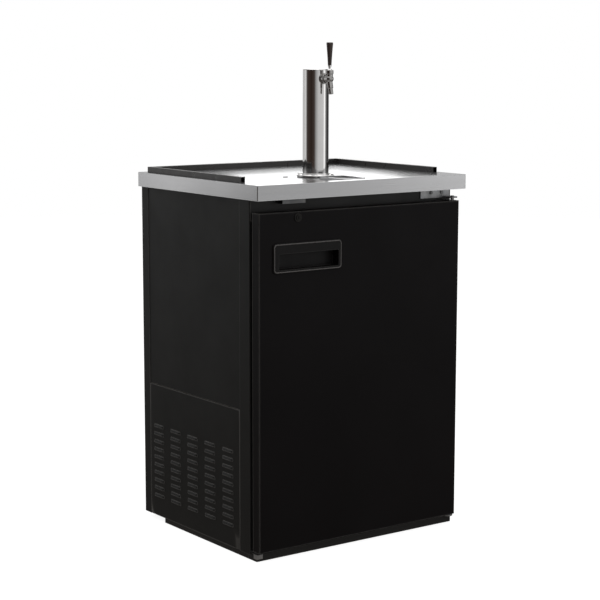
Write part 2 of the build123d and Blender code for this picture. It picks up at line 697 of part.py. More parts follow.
def blade_fan(count, hub_r, tip_r, hub_length, bore_r, pitch_deg):
    """Fan on the Y axis at the origin: hub and pitched flat blades."""
    fan = rod_y(0, 0, -hub_length / 2, hub_length / 2, hub_r)
    for index in range(count):
        blade = block(hub_r - 2, tip_r, -0.9, 0.9, -hub_r * 0.8, hub_r * 0.8)
        blade = Rot(pitch_deg, 0, 0) * blade
        fan += Rot(0, 360 * index / count, 0) * blade
    return fan - rod_y(0, 0, -hub_length, hub_length, bore_r)


def evaporator_fan():
    return Pos(EVAP_FAN_X, 171, EVAP_FAN_Z) * blade_fan(4, 11, EVAP_FAN_R - 1, 16, 2.5 + RUN_GAP, 60)


def evaporator_coil():
    """Finned evaporator beside the fan."""
    x0 = -188.0
    pitch = 14.0
    coil = block(x0, x0 + 1, 160, 232, 812, 896)
    for index in range(1, FIN_COUNT + 1):
        x = x0 + index * pitch
        coil += block(x, x + 1, 160, 232, 812, 896)
    for y in (178, 214):
        for z in (832, 876):
            coil += rod_x(y, z, x0, x0 + FIN_COUNT * pitch + 6, 4.5)
    return coil


THERMO_Y = 40.0
THERMO_Z = 850.0


def thermostat_housing():
    """Control box on the left wall of the chamber."""
    box = block(-CHAMBER_HALF, -276, THERMO_Y - 30, THERMO_Y + 30, THERMO_Z - 35, THERMO_Z + 35)
    box = fillet(box.edges().filter_by(Axis.X), 5)
    return box - rod_x(THERMO_Y, THERMO_Z, -290, -275, 3 + RUN_GAP)


def thermostat_knob():
    knob = rod_x(THERMO_Y, THERMO_Z, -275.7, -262, 15)
    knob = chamfer(knob.edges().filter_by(GeomType.CIRCLE).sort_by(Axis.X)[-1], 2)
    knob += rod_x(THERMO_Y, THERMO_Z, -289, -275, 3)
    return knob - block(-263.2, -261, THERMO_Y - 1, THERMO_Y + 1, THERMO_Z + 3, THERMO_Z + 16)


# ---------------------------------------------------------------- condensing unit
COMP_X = 90.0
COMP_Y = 90.0
COMP_R = 78.0
CONDENSER_Y0 = -190.0
CONDENSER_Y1 = 90.0
COND_FAN_Y = -50.0
COND_FAN_Z = 128.0
COND_FAN_R = 82.0


def compressor():
    """Hermetic compressor: two drawn steel cups, welded seam, foot plate and terminal box."""
    can = rod_z(COMP_X, COMP_Y, 40, 198, COMP_R)
    can = fillet(can.edges().group_by(Axis.Z)[-1], 30)
    can = fillet(can.edges().group_by(Axis.Z)[0], 18)
    can += rod_z(COMP_X, COMP_Y, 112, 120, COMP_R + 4)
    foot = round_block(COMP_X - 110, COMP_X + 110, COMP_Y - 62, COMP_Y + 62, 37, 41, 12)
    for x, y in mount_places():
        foot -= rod_z(x, y, 35, 45, 4.3)
    box = block(COMP_X + 60, COMP_X + 112, COMP_Y - 32, COMP_Y + 32, 76, 108)
    return can + foot + box


def mount_places():
    for side_x in (-1, 1):
        for side_y in (-1, 1):
            yield COMP_X + side_x * 94, COMP_Y + side_y * 46


def compressor_mounts():
    """Four rubber mounts between compressor foot and base pan."""
    mounts = []
    for x, y in mount_places():
        mount = rod_z(x, y, 22, 37, 11)
        mount += rod_z(x, y, 37, 41, 4.2)
        mounts.append(mount + rod_z(x, y, 41, 45, 8))
    return mounts


def condenser_coil():
    """Finned condenser behind the louvred panel, on a channel foot."""
    fin = 1.5
    pitch = 14.0
    count = int((CONDENSER_Y1 - CONDENSER_Y0) / pitch)
    coil = block(-332, -298, CONDENSER_Y0, CONDENSER_Y1 + fin, 22, 36)
    for index in range(count + 1):
        y = CONDENSER_Y0 + index * pitch
        coil += block(-332, -298, y, y + fin, 30, 216)
    for z in (56, 92, 128, 164, 200):
        coil += rod_y(-315, z, CONDENSER_Y0 - 6, CONDENSER_Y1 + 8, 4.5)
    return coil


def fan_shroud():
    """Sheet shroud that draws air through the condenser."""
    shroud = block(-292, -290, CONDENSER_Y0, CONDENSER_Y1, 22, 222)
    shroud += rod_x(COND_FAN_Y, COND_FAN_Z, -292, -262, COND_FAN_R + 6)
    shroud -= rod_x(COND_FAN_Y, COND_FAN_Z, -300, -255, COND_FAN_R + 4)
    return shroud + block(-292, -270, CONDENSER_Y0, CONDENSER_Y1, 22, 24)


def condenser_fan_motor():
    """Fan motor on a pedestal, its shaft towards the condenser."""
    motor = rod_x(COND_FAN_Y, COND_FAN_Z, -255, -205, 36)
    motor = fillet(motor.edges().filter_by(GeomType.CIRCLE), 4)
    motor += rod_x(COND_FAN_Y, COND_FAN_Z, -286, -250, 3)
    motor += block(-245, -215, COND_FAN_Y - 6, COND_FAN_Y + 6, 24, COND_FAN_Z - 30)
    return motor + block(-255, -200, COND_FAN_Y - 40, COND_FAN_Y + 40, 22, 26)


def condenser_fan():
    fan = blade_fan(5, 17, COND_FAN_R, 20, 3 + RUN_GAP, 62)
    return Pos(-274, COND_FAN_Y, COND_FAN_Z) * Rot(0, 0, 90) * fan


def filter_drier():
    """Copper filter drier clipped upright to the pan beside the condenser."""
    can = rod_z(-250, 160, 50, 150, 11)
    can = fillet(can.edges().filter_by(GeomType.CIRCLE), 4)
    can += rod_z(-250, 160, 22, 170, 4)
    return can + rod_z(-250, 160, 22, 26, 14)


def refrigerant_lines():
    """Copper suction and liquid lines through the insulated floor, and the discharge line."""
    suction = tube_path(
        [
            (COMP_X + 20, COMP_Y + 70, 150),
            (COMP_X + 20, COMP_Y + 135, 150),
            (SUCTION_X, SUCTION_Y, 160),
            (SUCTION_X, SUCTION_Y, EVAP_Z + 6),
        ],
        [18, 18],
        4.5,
    )
    liquid = tube_path(
        [
            (-250, 160, 170),
            (-250, 160, 200),
            (SUCTION_X + 18, 160, 200),
            (SUCTION_X + 18, SUCTION_Y, 205),
            (SUCTION_X + 18, SUCTION_Y, EVAP_Z + 6),
        ],
        [14, 18, 14],
        3.0,
    )
    discharge = tube_path(
        [
            (COMP_X - 70, COMP_Y - 20, 90),
            (COMP_X - 130, COMP_Y - 20, 90),
            (-240, 120, 60),
            (-315, 120, 56),
            (-315, CONDENSER_Y1 + 8, 56),
        ],
        [20, 20, 12],
        3.0,
    )
    return [suction, liquid, discharge]


# ---------------------------------------------------------------- hinges and strike
STRIKE_X = -215.7
STRIKE_HALF = 37.0
HINGE_SCREWS = (269.0, 307.0)
HINGE_SCREW_Z = 949.0
HINGE_PLATE_Z0 = 934.0
HINGE_PLATE_Z1 = 984.0
HINGE_SHEET = 3.5
STRIKE_Z0 = 946.0


def upper_hinge_bracket():
    """Steel plate on the header with an arm over the door and a pin down into it."""
    low = HINGE_PLATE_Z0
    arm_top = low + HINGE_SHEET
    front = BODY_FRONT - 2.5
    plate = block(231, 335, front, BODY_FRONT, low, HINGE_PLATE_Z1)
    arm = block(PIVOT_X - 14, PIVOT_X + 14, PIVOT_Y, front, low, arm_top)
    arm += rod_z(PIVOT_X, PIVOT_Y, low, arm_top, 14)
    pin = rod_z(PIVOT_X, PIVOT_Y, DOOR_TOP - 18.9, arm_top + 2.5, HINGE_PIN_R)
    bracket = plate + arm + pin
    for x in HINGE_SCREWS:
        bracket -= rod_y(x, HINGE_SCREW_Z, BODY_FRONT - 3, BODY_FRONT, 2.6)
    return bracket


def lower_hinge_bracket():
    """Steel bracket on the front rail with a pin up into the door."""
    top = BASE_HEIGHT + 3
    plate = block(300, 341, PIVOT_Y, BODY_FRONT - 0.2, BASE_HEIGHT, top)
    plate += rod_z(PIVOT_X, PIVOT_Y, BASE_HEIGHT, top, 14)
    return plate + rod_z(PIVOT_X, PIVOT_Y, BASE_HEIGHT, 44, HINGE_PIN_R)


def strike_bracket():
    """Bright angle under the worktop that the lock bolt rises into."""
    x0 = STRIKE_X - STRIKE_HALF
    x1 = STRIKE_X + STRIKE_HALF
    top = HINGE_PLATE_Z1
    shelf = block(x0, x1, -266, BODY_FRONT, STRIKE_Z0, STRIKE_Z0 + SHEET)
    lip = block(x0, x1, -268, -266, STRIKE_Z0, top)
    back = block(x0, x1, BODY_FRONT - SHEET, BODY_FRONT, STRIKE_Z0, top)
    slot = block(STRIKE_X - 7, STRIKE_X + 7, -263.8, -255.2, STRIKE_Z0 - 6, STRIKE_Z0 + 4)
    return shelf + lip + back - slot


def bracket_screws():
    """Pan-head screws of the upper hinge bracket."""
    screws = []
    for x in HINGE_SCREWS:
        head = rod_y(x, HINGE_SCREW_Z, BODY_FRONT - 4.8, BODY_FRONT - 2.5, 4.6)
        screws.append(head + rod_y(x, HINGE_SCREW_Z, BODY_FRONT - 2.5, BODY_FRONT, 2.5))
    return screws


# ---------------------------------------------------------------- door
HANDLE_X0 = -296.5
HANDLE_X1 = -74.0
HANDLE_Z0 = 767.0
HANDLE_Z1 = 846.0
POCKET_X0 = -279.0
POCKET_X1 = -84.5
POCKET_Z0 = 776.0
HOOD_Z = 818.5
POCKET_BACK = -262.0
BEZEL_PROUD = 4.0
LOCK_Z = 910.5
LOCK_R = 7.0


def door_cut(extra, y0, y1):
    """Room in the door for the handle moulding."""
    return block(
        POCKET_X0 - 3 - extra,
        POCKET_X1 + 3 + extra,
        y0,
        y1,
        POCKET_Z0 - 4 - extra,
        HANDLE_Z1 - 4 + extra,
    )


def door_skin():
    """Black steel door pan: front sheet and four returns, radiused along its front edges."""
    x = DOOR_HALF
    pan = block(-x, x, DOOR_FRONT, DOOR_BACK, DOOR_BOTTOM, DOOR_TOP)
    front_edges = pan.edges().group_by(Axis.Y)[0]
    pan = fillet(front_edges, 3)
    t = DOOR_SHEET
    pan -= block(-x + t, x - t, DOOR_FRONT + t, DOOR_BACK + 1, DOOR_BOTTOM + t, DOOR_TOP - t)
    pan -= door_cut(0.2, DOOR_FRONT - 1, DOOR_BACK)
    pan -= rod_y(STRIKE_X, LOCK_Z, DOOR_FRONT - 1, DOOR_BACK, 10.1)
    pan -= rod_z(PIVOT_X, PIVOT_Y, DOOR_BOTTOM - 1, DOOR_TOP + 1, 7.1)
    return pan - block(STRIKE_X - 6.5, STRIKE_X + 6.5, -262.5, -256.5, 920, 930)


def door_foam():
    """Foam core of the door, with pockets for the handle, the lock and the hinge bushes."""
    t = DOOR_SHEET
    foam = block(
        -DOOR_HALF + t, DOOR_HALF - t, DOOR_FRONT + 3.2, -257.5, DOOR_BOTTOM + t, DOOR_TOP - t
    )
    foam -= door_cut(0.2, DOOR_FRONT - 1, POCKET_BACK + 2.2)
    foam -= rod_y(STRIKE_X, LOCK_Z, DOOR_FRONT - 1, DOOR_BACK, 10.1)
    foam -= block(STRIKE_X - 13, STRIKE_X + 13, -264.5, -255, 870, 930)
    foam -= rod_z(PIVOT_X, PIVOT_Y, 900, 930, 7.1)
    return foam - rod_z(PIVOT_X, PIVOT_Y, 20, 50, 7.1)


def door_liner():
    """Inner door panel with a raised field that faces the chamber."""
    t = DOOR_SHEET
    liner = block(-DOOR_HALF + t, DOOR_HALF - t, -257.5, DOOR_BACK, DOOR_BOTTOM + t, DOOR_TOP - t)
    field = block(-285, 285, DOOR_BACK, DOOR_BACK + 7, 280, 885)
    return liner + chamfer(field.edges().group_by(Axis.Y)[-1], 3)


def door_gasket():
    """Magnetic bulb gasket in four lengths."""
    y0 = DOOR_BACK
    y1 = BODY_FRONT - BODY_GAP - 0.1
    x0, x1 = 306.0, 325.0
    z0, z1 = 234.0, 922.0
    width = x1 - x0
    return [
        block(-x1, -x0, y0, y1, z0, z1),
        block(x0, x1, y0, y1, z0, z1),
        block(-x0, x0, y0, y1, z0, z0 + width),
        block(-x0, x0, y0, y1, z1 - width, z1),
    ]


def door_handle():
    """Recessed black pull: bezel, hood over the finger slot, and pocket."""
    front = DOOR_FRONT - BEZEL_PROUD
    bezel = block(HANDLE_X0, HANDLE_X1, front, DOOR_FRONT, HANDLE_Z0, HANDLE_Z1)
    bezel = fillet(bezel.edges().filter_by(Axis.Y), 9)
    bezel = fillet(bezel.edges().group_by(Axis.Y)[0], 2)
    pocket = door_cut(0, DOOR_FRONT, POCKET_BACK + 2)
    handle = bezel + pocket
    mouth = block(POCKET_X0, POCKET_X1, front - 1, POCKET_BACK, POCKET_Z0, HOOD_Z)
    mouth = fillet(mouth.edges().filter_by(Axis.Y), 3)
    behind = block(POCKET_X0, POCKET_X1, DOOR_FRONT - 0.5, POCKET_BACK, HOOD_Z - 4, HANDLE_Z1 - 7)
    return handle - mouth - behind


def door_bushes():
    """Plastic bushes for the upper and lower hinge pins."""
    bushes = []
    for z0, z1 in ((904, DOOR_TOP), (DOOR_BOTTOM, 48)):
        bush = rod_z(PIVOT_X, PIVOT_Y, z0, z1, 7)
        bushes.append(bush - rod_z(PIVOT_X, PIVOT_Y, z0 - 1, z1 + 1, HINGE_PIN_R + RUN_GAP))
    return bushes


def lock_housing():
    """Barrel sleeve of the door lock with its round escutcheon."""
    sleeve = rod_y(STRIKE_X, LOCK_Z, DOOR_FRONT, -265, 10)
    escutcheon = rod_y(STRIKE_X, LOCK_Z, DOOR_FRONT - 2, DOOR_FRONT, 12.5)
    escutcheon = chamfer(escutcheon.edges().group_by(Axis.Y)[0], 0.8)
    return sleeve + escutcheon - rod_y(STRIKE_X, LOCK_Z, DOOR_FRONT - 3, -264, LOCK_R + RUN_GAP)


def lock_cylinder():
    """Key cylinder with its keyway."""
    front = DOOR_FRONT - 3.5
    cylinder = rod_y(STRIKE_X, LOCK_Z, front, -266, LOCK_R)
    cylinder += rod_y(STRIKE_X, LOCK_Z, -266, -264.4, 4)
    key = block(STRIKE_X - 0.9, STRIKE_X + 0.9, front - 1, front + 12, LOCK_Z - 4.5, LOCK_Z + 4)
    return cylinder - key


def lock_bolt():
    """Upright bolt that rises from the door's top edge into the strike."""
    bolt = block(STRIKE_X - 5.5, STRIKE_X + 5.5, -261.6, -257.9, 880, 926)
    return chamfer(bolt.edges().group_by(Axis.Z)[-1], 0.8)


# ---------------------------------------------------------------- write every sub-part
SINGLE = {
    "base_pan": base_pan,
    "left_side_panel": left_side_panel,
    "louvred_side_panel": louvred_side_panel,
    "back_panel": back_panel,
    "rear_vent_cover": rear_vent_cover,
    "power_inlet": power_inlet,
    "front_header": front_header,
    "front_apron": front_apron,
    "gas_line_grommet": gas_line_grommet,
    "worktop": worktop,
    "worktop_core": worktop_core,
    "worktop_plug": worktop_plug,
    "drip_pan": drip_pan,
    "drip_grille": drip_grille,
    "tower_gasket": tower_gasket,
    "tower_flange": tower_flange,
    "tower_column": tower_column,
    "tower_cap": tower_cap,
    "faucet_shank": faucet_shank,
    "coupling_nut": coupling_nut,
    "faucet_body": faucet_body,
    "valve_shaft": valve_shaft,
    "tap_lever": tap_lever,
    "tap_handle": tap_handle,
    "beer_line": beer_line,
    "line_connector": line_connector,
    "evaporator_housing": evaporator_housing,
    "evaporator_coil": evaporator_coil,
    "evaporator_fan": evaporator_fan,
    "thermostat_housing": thermostat_housing,
    "thermostat_knob": thermostat_knob,
    "compressor": compressor,
    "condenser_coil": condenser_coil,
    "fan_shroud": fan_shroud,
    "condenser_fan_motor": condenser_fan_motor,
    "condenser_fan": condenser_fan,
    "filter_drier": filter_drier,
    "upper_hinge_bracket": upper_hinge_bracket,
    "lower_hinge_bracket": lower_hinge_bracket,
    "strike_bracket": strike_bracket,
    "door_skin": door_skin,
    "door_foam": door_foam,
    "door_liner": door_liner,
    "door_handle": door_handle,
    "lock_housing": lock_housing,
    "lock_cylinder": lock_cylinder,
    "lock_bolt": lock_bolt,
}
GROUPS = {
    "base_rails": base_rails,
    "foam_insulation": foam_insulation,
    "chamber_liner": chamber_liner,
    "breaker_strips": breaker_strips,
    "guard_rail": guard_rail,
    "tower_screws": tower_screws,
    "line_clips": line_clips,
    "compressor_mounts": compressor_mounts,
    "refrigerant_lines": refrigerant_lines,
    "bracket_screws": bracket_screws,
    "door_gasket": door_gasket,
    "door_bushes": door_bushes,
}

for name, make in SINGLE.items():
    save(name, make())
save("right_side_panel", side_panel(1, 60.0))
for name, make in GROUPS.items():
    save(name, *make())
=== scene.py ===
import json
from math import cos, pi, radians, sin, sqrt

import bmesh
import bpy
from mathutils import Matrix, Vector


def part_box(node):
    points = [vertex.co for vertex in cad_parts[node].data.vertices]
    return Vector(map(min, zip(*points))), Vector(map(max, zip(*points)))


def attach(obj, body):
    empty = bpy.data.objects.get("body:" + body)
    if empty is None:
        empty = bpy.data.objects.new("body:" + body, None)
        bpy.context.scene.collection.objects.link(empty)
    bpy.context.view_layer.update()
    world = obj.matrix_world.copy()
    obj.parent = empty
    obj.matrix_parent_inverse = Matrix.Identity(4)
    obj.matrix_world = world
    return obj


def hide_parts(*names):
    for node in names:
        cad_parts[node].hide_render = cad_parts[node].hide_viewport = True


# Kegerator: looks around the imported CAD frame. Metres, +X right, +Y back, +Z up.
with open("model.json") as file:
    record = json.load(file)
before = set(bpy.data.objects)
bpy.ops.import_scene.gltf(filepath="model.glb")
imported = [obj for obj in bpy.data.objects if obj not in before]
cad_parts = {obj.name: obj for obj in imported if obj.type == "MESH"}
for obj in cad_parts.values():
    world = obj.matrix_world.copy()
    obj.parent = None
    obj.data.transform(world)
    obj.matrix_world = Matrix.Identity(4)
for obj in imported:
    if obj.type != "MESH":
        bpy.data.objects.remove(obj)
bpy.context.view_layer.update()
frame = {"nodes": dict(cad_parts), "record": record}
NODES = frame["nodes"]
MM = 0.001
# stands in for a radius of zero, so that a turned profile closes without doubled faces
AXIS = 0.0005 * MM


# ------------------------------------------------------------------ camera and stage
# Studio walls by bearing in degrees (0 in front, 90 to the right, -90 to the left).
BROWN = (0.060, 0.046, 0.040)
DEEP_BROWN = (0.030, 0.020, 0.016)
WALLS = [
    (-180, 0.62),
    (-156, 0.58),
    (-149, 0.50),
    (-146, 0.32),
    (-143, 0.10),
    (-138, 0.10),
    (-131, 0.55),
    (-118, BROWN),
    (-75, DEEP_BROWN),
    (-48, BROWN),
    (-34, 0.34),
    (-12, 0.62),
    (15, 0.64),
    (29, 0.70),
    (34, 0.48),
    (37.5, 0.74),
    (41, 0.60),
    (44, 0.38),
    (48, 0.40),
    (55, 0.62),
    (64, 0.26),
    (80, 0.05),
    (118, 0.05),
    (128, 0.62),
    (180, 0.62),
]
# Sky, by height: 0 straight down, 0.5 level, 1 overhead, and its share over the walls.
HEIGHTS = [(0.0, 0.15), (0.35, 0.3), (0.65, 0.35), (0.85, 0.7), (1.0, 1.0)]
SHADE_RADIUS = 5.0
FLOOR_RADIUS = 9.0
ROUND_STEPS = 96
OVERHEAD_SHARE = [(0.0, 1.0), (0.25, 0.6), (0.36, 0.0), (0.62, 0.0), (0.80, 1.0)]


def make_camera():
    """A long lens from the front left, a little above the worktop."""
    yaw, pitch, roll = radians(-35.956), radians(-8.4915), radians(0.084)
    forward = Vector((-sin(yaw) * cos(pitch), cos(yaw) * cos(pitch), sin(pitch)))
    right = Vector((cos(yaw), sin(yaw), 0.0))
    up = right.cross(forward)
    turned_right = right * cos(roll) + up * sin(roll)
    turned_up = up * cos(roll) - right * sin(roll)
    data = bpy.data.cameras.new("camera")
    data.sensor_width = 36.0
    data.lens = 100.974
    data.clip_end = 100.0
    camera = bpy.data.objects.new("camera", data)
    bpy.context.scene.collection.objects.link(camera)
    basis = Matrix((turned_right, turned_up, -forward)).transposed().to_4x4()
    camera.matrix_world = Matrix.Translation((-2.7723, -3.8193, 1.3447)) @ basis
    bpy.context.scene.camera = camera


def area_light(name, place, target, size, power):
    """A rectangular softbox that faces a target point."""
    data = bpy.data.lights.new(name, "AREA")
    data.shape = "RECTANGLE"
    data.size, data.size_y = size
    data.energy = power
    light = bpy.data.objects.new(name, data)
    bpy.context.scene.collection.objects.link(light)
    light.location = place
    aim = Vector(target) - Vector(place)
    light.rotation_euler = aim.to_track_quat("-Z", "Y").to_euler()
    light.visible_camera = False
    return light


def make_world():
    """White behind the object. For lighting, a studio seen by compass direction: a dark brown
    wall on the left, a bright one in front and to the right, then black, then pale behind."""
    world = bpy.data.worlds.new("studio")
    bpy.context.scene.world = world
    world.use_nodes = True
    tree = world.node_tree
    tree.nodes.clear()
    link = tree.links.new
    coord = tree.nodes.new("ShaderNodeTexCoord")
    split = tree.nodes.new("ShaderNodeSeparateXYZ")
    link(coord.outputs["Generated"], split.inputs[0])

    def math(kind, a, b=0.0):
        node = tree.nodes.new("ShaderNodeMath")
        node.operation = kind
        for socket, value in zip(node.inputs, (a, b)):
            if isinstance(value, (int, float)):
                socket.default_value = value
            else:
                link(value, socket)
        return node.outputs[0]

    def ramp(value, stops):
        node = tree.nodes.new("ShaderNodeValToRGB")
        while len(node.color_ramp.elements) < len(stops):
            node.color_ramp.elements.new(0.5)
        for element, (place, level) in zip(node.color_ramp.elements, stops):
            element.position = place
            element.color = (*level, 1) if isinstance(level, tuple) else (level, level, level, 1)
        link(value, node.inputs[0])
        return node.outputs[0]

    bearing = math("ARCTAN2", split.outputs["X"], math("MULTIPLY", split.outputs["Y"], -1.0))
    turn = math("MULTIPLY_ADD", bearing, 1 / (2 * pi))
    tree.nodes[-1].inputs[2].default_value = 0.5
    wall = ramp(turn, [((degrees + 180) / 360, level) for degrees, level in WALLS])
    height = math("MULTIPLY_ADD", split.outputs["Z"], 0.5)
    tree.nodes[-1].inputs[2].default_value = 0.5
    level = ramp(height, HEIGHTS)
    blend = tree.nodes.new("ShaderNodeMix")
    blend.data_type = "RGBA"
    link(ramp(height, OVERHEAD_SHARE), blend.inputs["Factor"])
    link(wall, blend.inputs["A"])
    link(level, blend.inputs["B"])
    lighting = tree.nodes.new("ShaderNodeBackground")
    link(blend.outputs["Result"], lighting.inputs["Color"])
    plain = tree.nodes.new("ShaderNodeBackground")
    plain.inputs["Color"].default_value = (1, 1, 1, 1)
    path = tree.nodes.new("ShaderNodeLightPath")
    mix = tree.nodes.new("ShaderNodeMixShader")
    out = tree.nodes.new("ShaderNodeOutputWorld")
    link(path.outputs["Is Camera Ray"], mix.inputs[0])
    link(lighting.outputs[0], mix.inputs[1])
    link(plain.outputs[0], mix.inputs[2])
    link(mix.outputs[0], out.inputs[0])


def make_floor():
    """Plain pale floor, bright enough to meet the white behind it, with a soft contact shadow."""
    floor = mesh_object("floor", *disc(FLOOR_RADIUS, ROUND_STEPS))
    material = bpy.data.materials.new("floor")
    material.use_nodes = True
    tree = material.node_tree
    tree.nodes.clear()
    glow = tree.nodes.new("ShaderNodeEmission")
    glow.inputs["Color"].default_value = (0.90, 0.90, 0.90, 1)
    matte = tree.nodes.new("ShaderNodeBsdfDiffuse")
    matte.inputs["Color"].default_value = (0.30, 0.30, 0.30, 1)
    both = tree.nodes.new("ShaderNodeAddShader")
    out = tree.nodes.new("ShaderNodeOutputMaterial")
    tree.links.new(glow.outputs[0], both.inputs[0])
    tree.links.new(matte.outputs[0], both.inputs[1])
    tree.links.new(both.outputs[0], out.inputs[0])
    floor.data.materials.append(material)
    floor.visible_glossy = False
    floor.visible_diffuse = False


def make_floor_shade():
    """Painted floor shadow that only glossy surfaces see: a glowing disc, dim close to the object, clear
    further out.
    """
    shade = mesh_object("floor_shade", *disc(SHADE_RADIUS, ROUND_STEPS))
    shade.location.z = -0.002
    material = bpy.data.materials.new("floor_shade")
    material.use_nodes = True
    tree = material.node_tree
    tree.nodes.clear()
    coord = tree.nodes.new("ShaderNodeTexCoord")
    length = tree.nodes.new("ShaderNodeVectorMath")
    length.operation = "LENGTH"
    tree.links.new(coord.outputs["Object"], length.inputs[0])
    fade = tree.nodes.new("ShaderNodeMapRange")
    fade.interpolation_type = "SMOOTHSTEP"
    fade.inputs["From Min"].default_value = 0.6
    fade.inputs["From Max"].default_value = SHADE_RADIUS
    tree.links.new(length.outputs["Value"], fade.inputs["Value"])
    glow = tree.nodes.new("ShaderNodeEmission")
    # painted shade: a dim glow standing in for the darker floor round the object in reflections
    glow.inputs["Color"].default_value = (0.22, 0.205, 0.19, 1)
    clear = tree.nodes.new("ShaderNodeBsdfTransparent")
    mix = tree.nodes.new("ShaderNodeMixShader")
    out = tree.nodes.new("ShaderNodeOutputMaterial")
    tree.links.new(fade.outputs[0], mix.inputs[0])
    tree.links.new(glow.outputs[0], mix.inputs[1])
    tree.links.new(clear.outputs[0], mix.inputs[2])
    tree.links.new(mix.outputs[0], out.inputs[0])
    shade.data.materials.append(material)
    shade.visible_camera = False
    shade.visible_diffuse = False
    shade.visible_shadow = False


def make_lights():
    """Soft studio: overhead box, box behind the worktop, strip to the left rear, front fill."""
    area_light("overhead", (0.3, 0.4, 3.2), (0, 0, 1.0), (2.4, 2.4), 26)
    area_light("rear_card", (1.35, 1.75, 1.55), (0, 0, 1.0), (0.70, 0.8), 2.8)
    area_light("left_strip", (-1.25, 1.45, 1.25), (-0.35, 0.1, 0.8), (0.55, 1.0), 1.0)
    area_light("right_box", (3.0, -2.9, 1.6), (0, 0, 0.9), (1.2, 2.2), 6)
    area_light("front_fill", (-1.6, -4.2, 2.8), (0, 0, 0.7), (1.6, 1.2), 3)


# ------------------------------------------------------------------ mesh helpers
def mesh_object(name, verts, faces, smooth_angle=None):
    """A new object from vertices and faces, shaded smooth below the given angle in degrees."""
    mesh = bpy.data.meshes.new(name)
    mesh.from_pydata([tuple(v) for v in verts], [], faces)
    mesh.validate()
    mesh.update()
    clean(mesh)
    if smooth_angle is not None:
        mesh.polygons.foreach_set("use_smooth", [True] * len(mesh.polygons))
        mesh.set_sharp_from_angle(angle=radians(smooth_angle))
    piece = bpy.data.objects.new(name, mesh)
    bpy.context.scene.collection.objects.link(piece)
    return piece


def clean(mesh):
    """Joins doubled points and turns every face outwards."""
    work = bmesh.new()
    work.from_mesh(mesh)
    bmesh.ops.remove_doubles(work, verts=work.verts, dist=1e-6)
    bmesh.ops.recalc_face_normals(work, faces=work.faces)
    work.to_mesh(mesh)
    work.free()


def disc(radius, count):
    """A flat round face centred on the origin."""
    turns = [2 * pi * i / count for i in range(count)]
    return [(radius * cos(t), radius * sin(t), 0.0) for t in turns], [tuple(range(count))]


def lathe(profile, count=96, centre=(0, 0, 0)):
    """Revolves a profile of (radius, height) points round an upright axis through the centre."""
    verts, faces = [], []
    for radius, height in profile:
        for index in range(count):
            angle = 2 * pi * index / count
            point = (radius * cos(angle), radius * sin(angle), height)
            verts.append(Vector(point) + Vector(centre))
    for ring in range(len(profile) - 1):
        for index in range(count):
            after = (index + 1) % count
            low, high = ring * count, (ring + 1) * count
            faces.append((low + index, low + after, high + after, high + index))
    return verts, faces


def arc(cx, cy, radius, start, end, steps):
    """Points of an arc in the plane of a profile, angles in degrees."""
    return [
        (
            cx + radius * cos(radians(start + (end - start) * i / steps)),
            cy + radius * sin(radians(start + (end - start) * i / steps)),
        )
        for i in range(steps + 1)
    ]


def sweep_rings(rings):
    """Joins rings of equal length into a closed skin with capped ends."""
    count = len(rings[0])
    verts = [p for ring in rings for p in ring]
    faces = []
    for r in range(len(rings) - 1):
        for i in range(count):
            j = (i + 1) % count
            faces.append((r * count + i, r * count + j, (r + 1) * count + j, (r + 1) * count + i))
    faces.append(tuple(reversed(range(count))))
    last = (len(rings) - 1) * count
    faces.append(tuple(range(last, last + count)))
    return verts, faces


def soften(piece, width, segments):
    """Rounds the sharp edges of a piece with a small bevel."""
    flat = piece.modifiers.new("flat", "DECIMATE")
    flat.decimate_type = "DISSOLVE"
    flat.angle_limit = radians(0.5)
    bevel = piece.modifiers.new("edge", "BEVEL")
    bevel.width = width
    bevel.segments = segments
    bevel.limit_method = "ANGLE"
    bevel.angle_limit = radians(30)
    bevel.use_clamp_overlap = True
    # corners the bevel had no room for stay crisp
    crisp = piece.modifiers.new("crisp", "EDGE_SPLIT")
    crisp.split_angle = radians(55)
    crisp.use_edge_sharp = False
    normals = piece.modifiers.new("normals", "WEIGHTED_NORMAL")
    normals.keep_sharp = True
    normals.weight = 80


def smooth_cad(node, width=0.4 * MM, segments=2):
    """Welds a CAD node's facets, shades them smooth and rounds its sharp edges."""
    piece = NODES[node]
    piece.data.polygons.foreach_set("use_smooth", [True] * len(piece.data.polygons))
    weld = piece.modifiers.new("weld", "WELD")
    weld.merge_threshold = 2e-6
    soften(piece, width, segments)


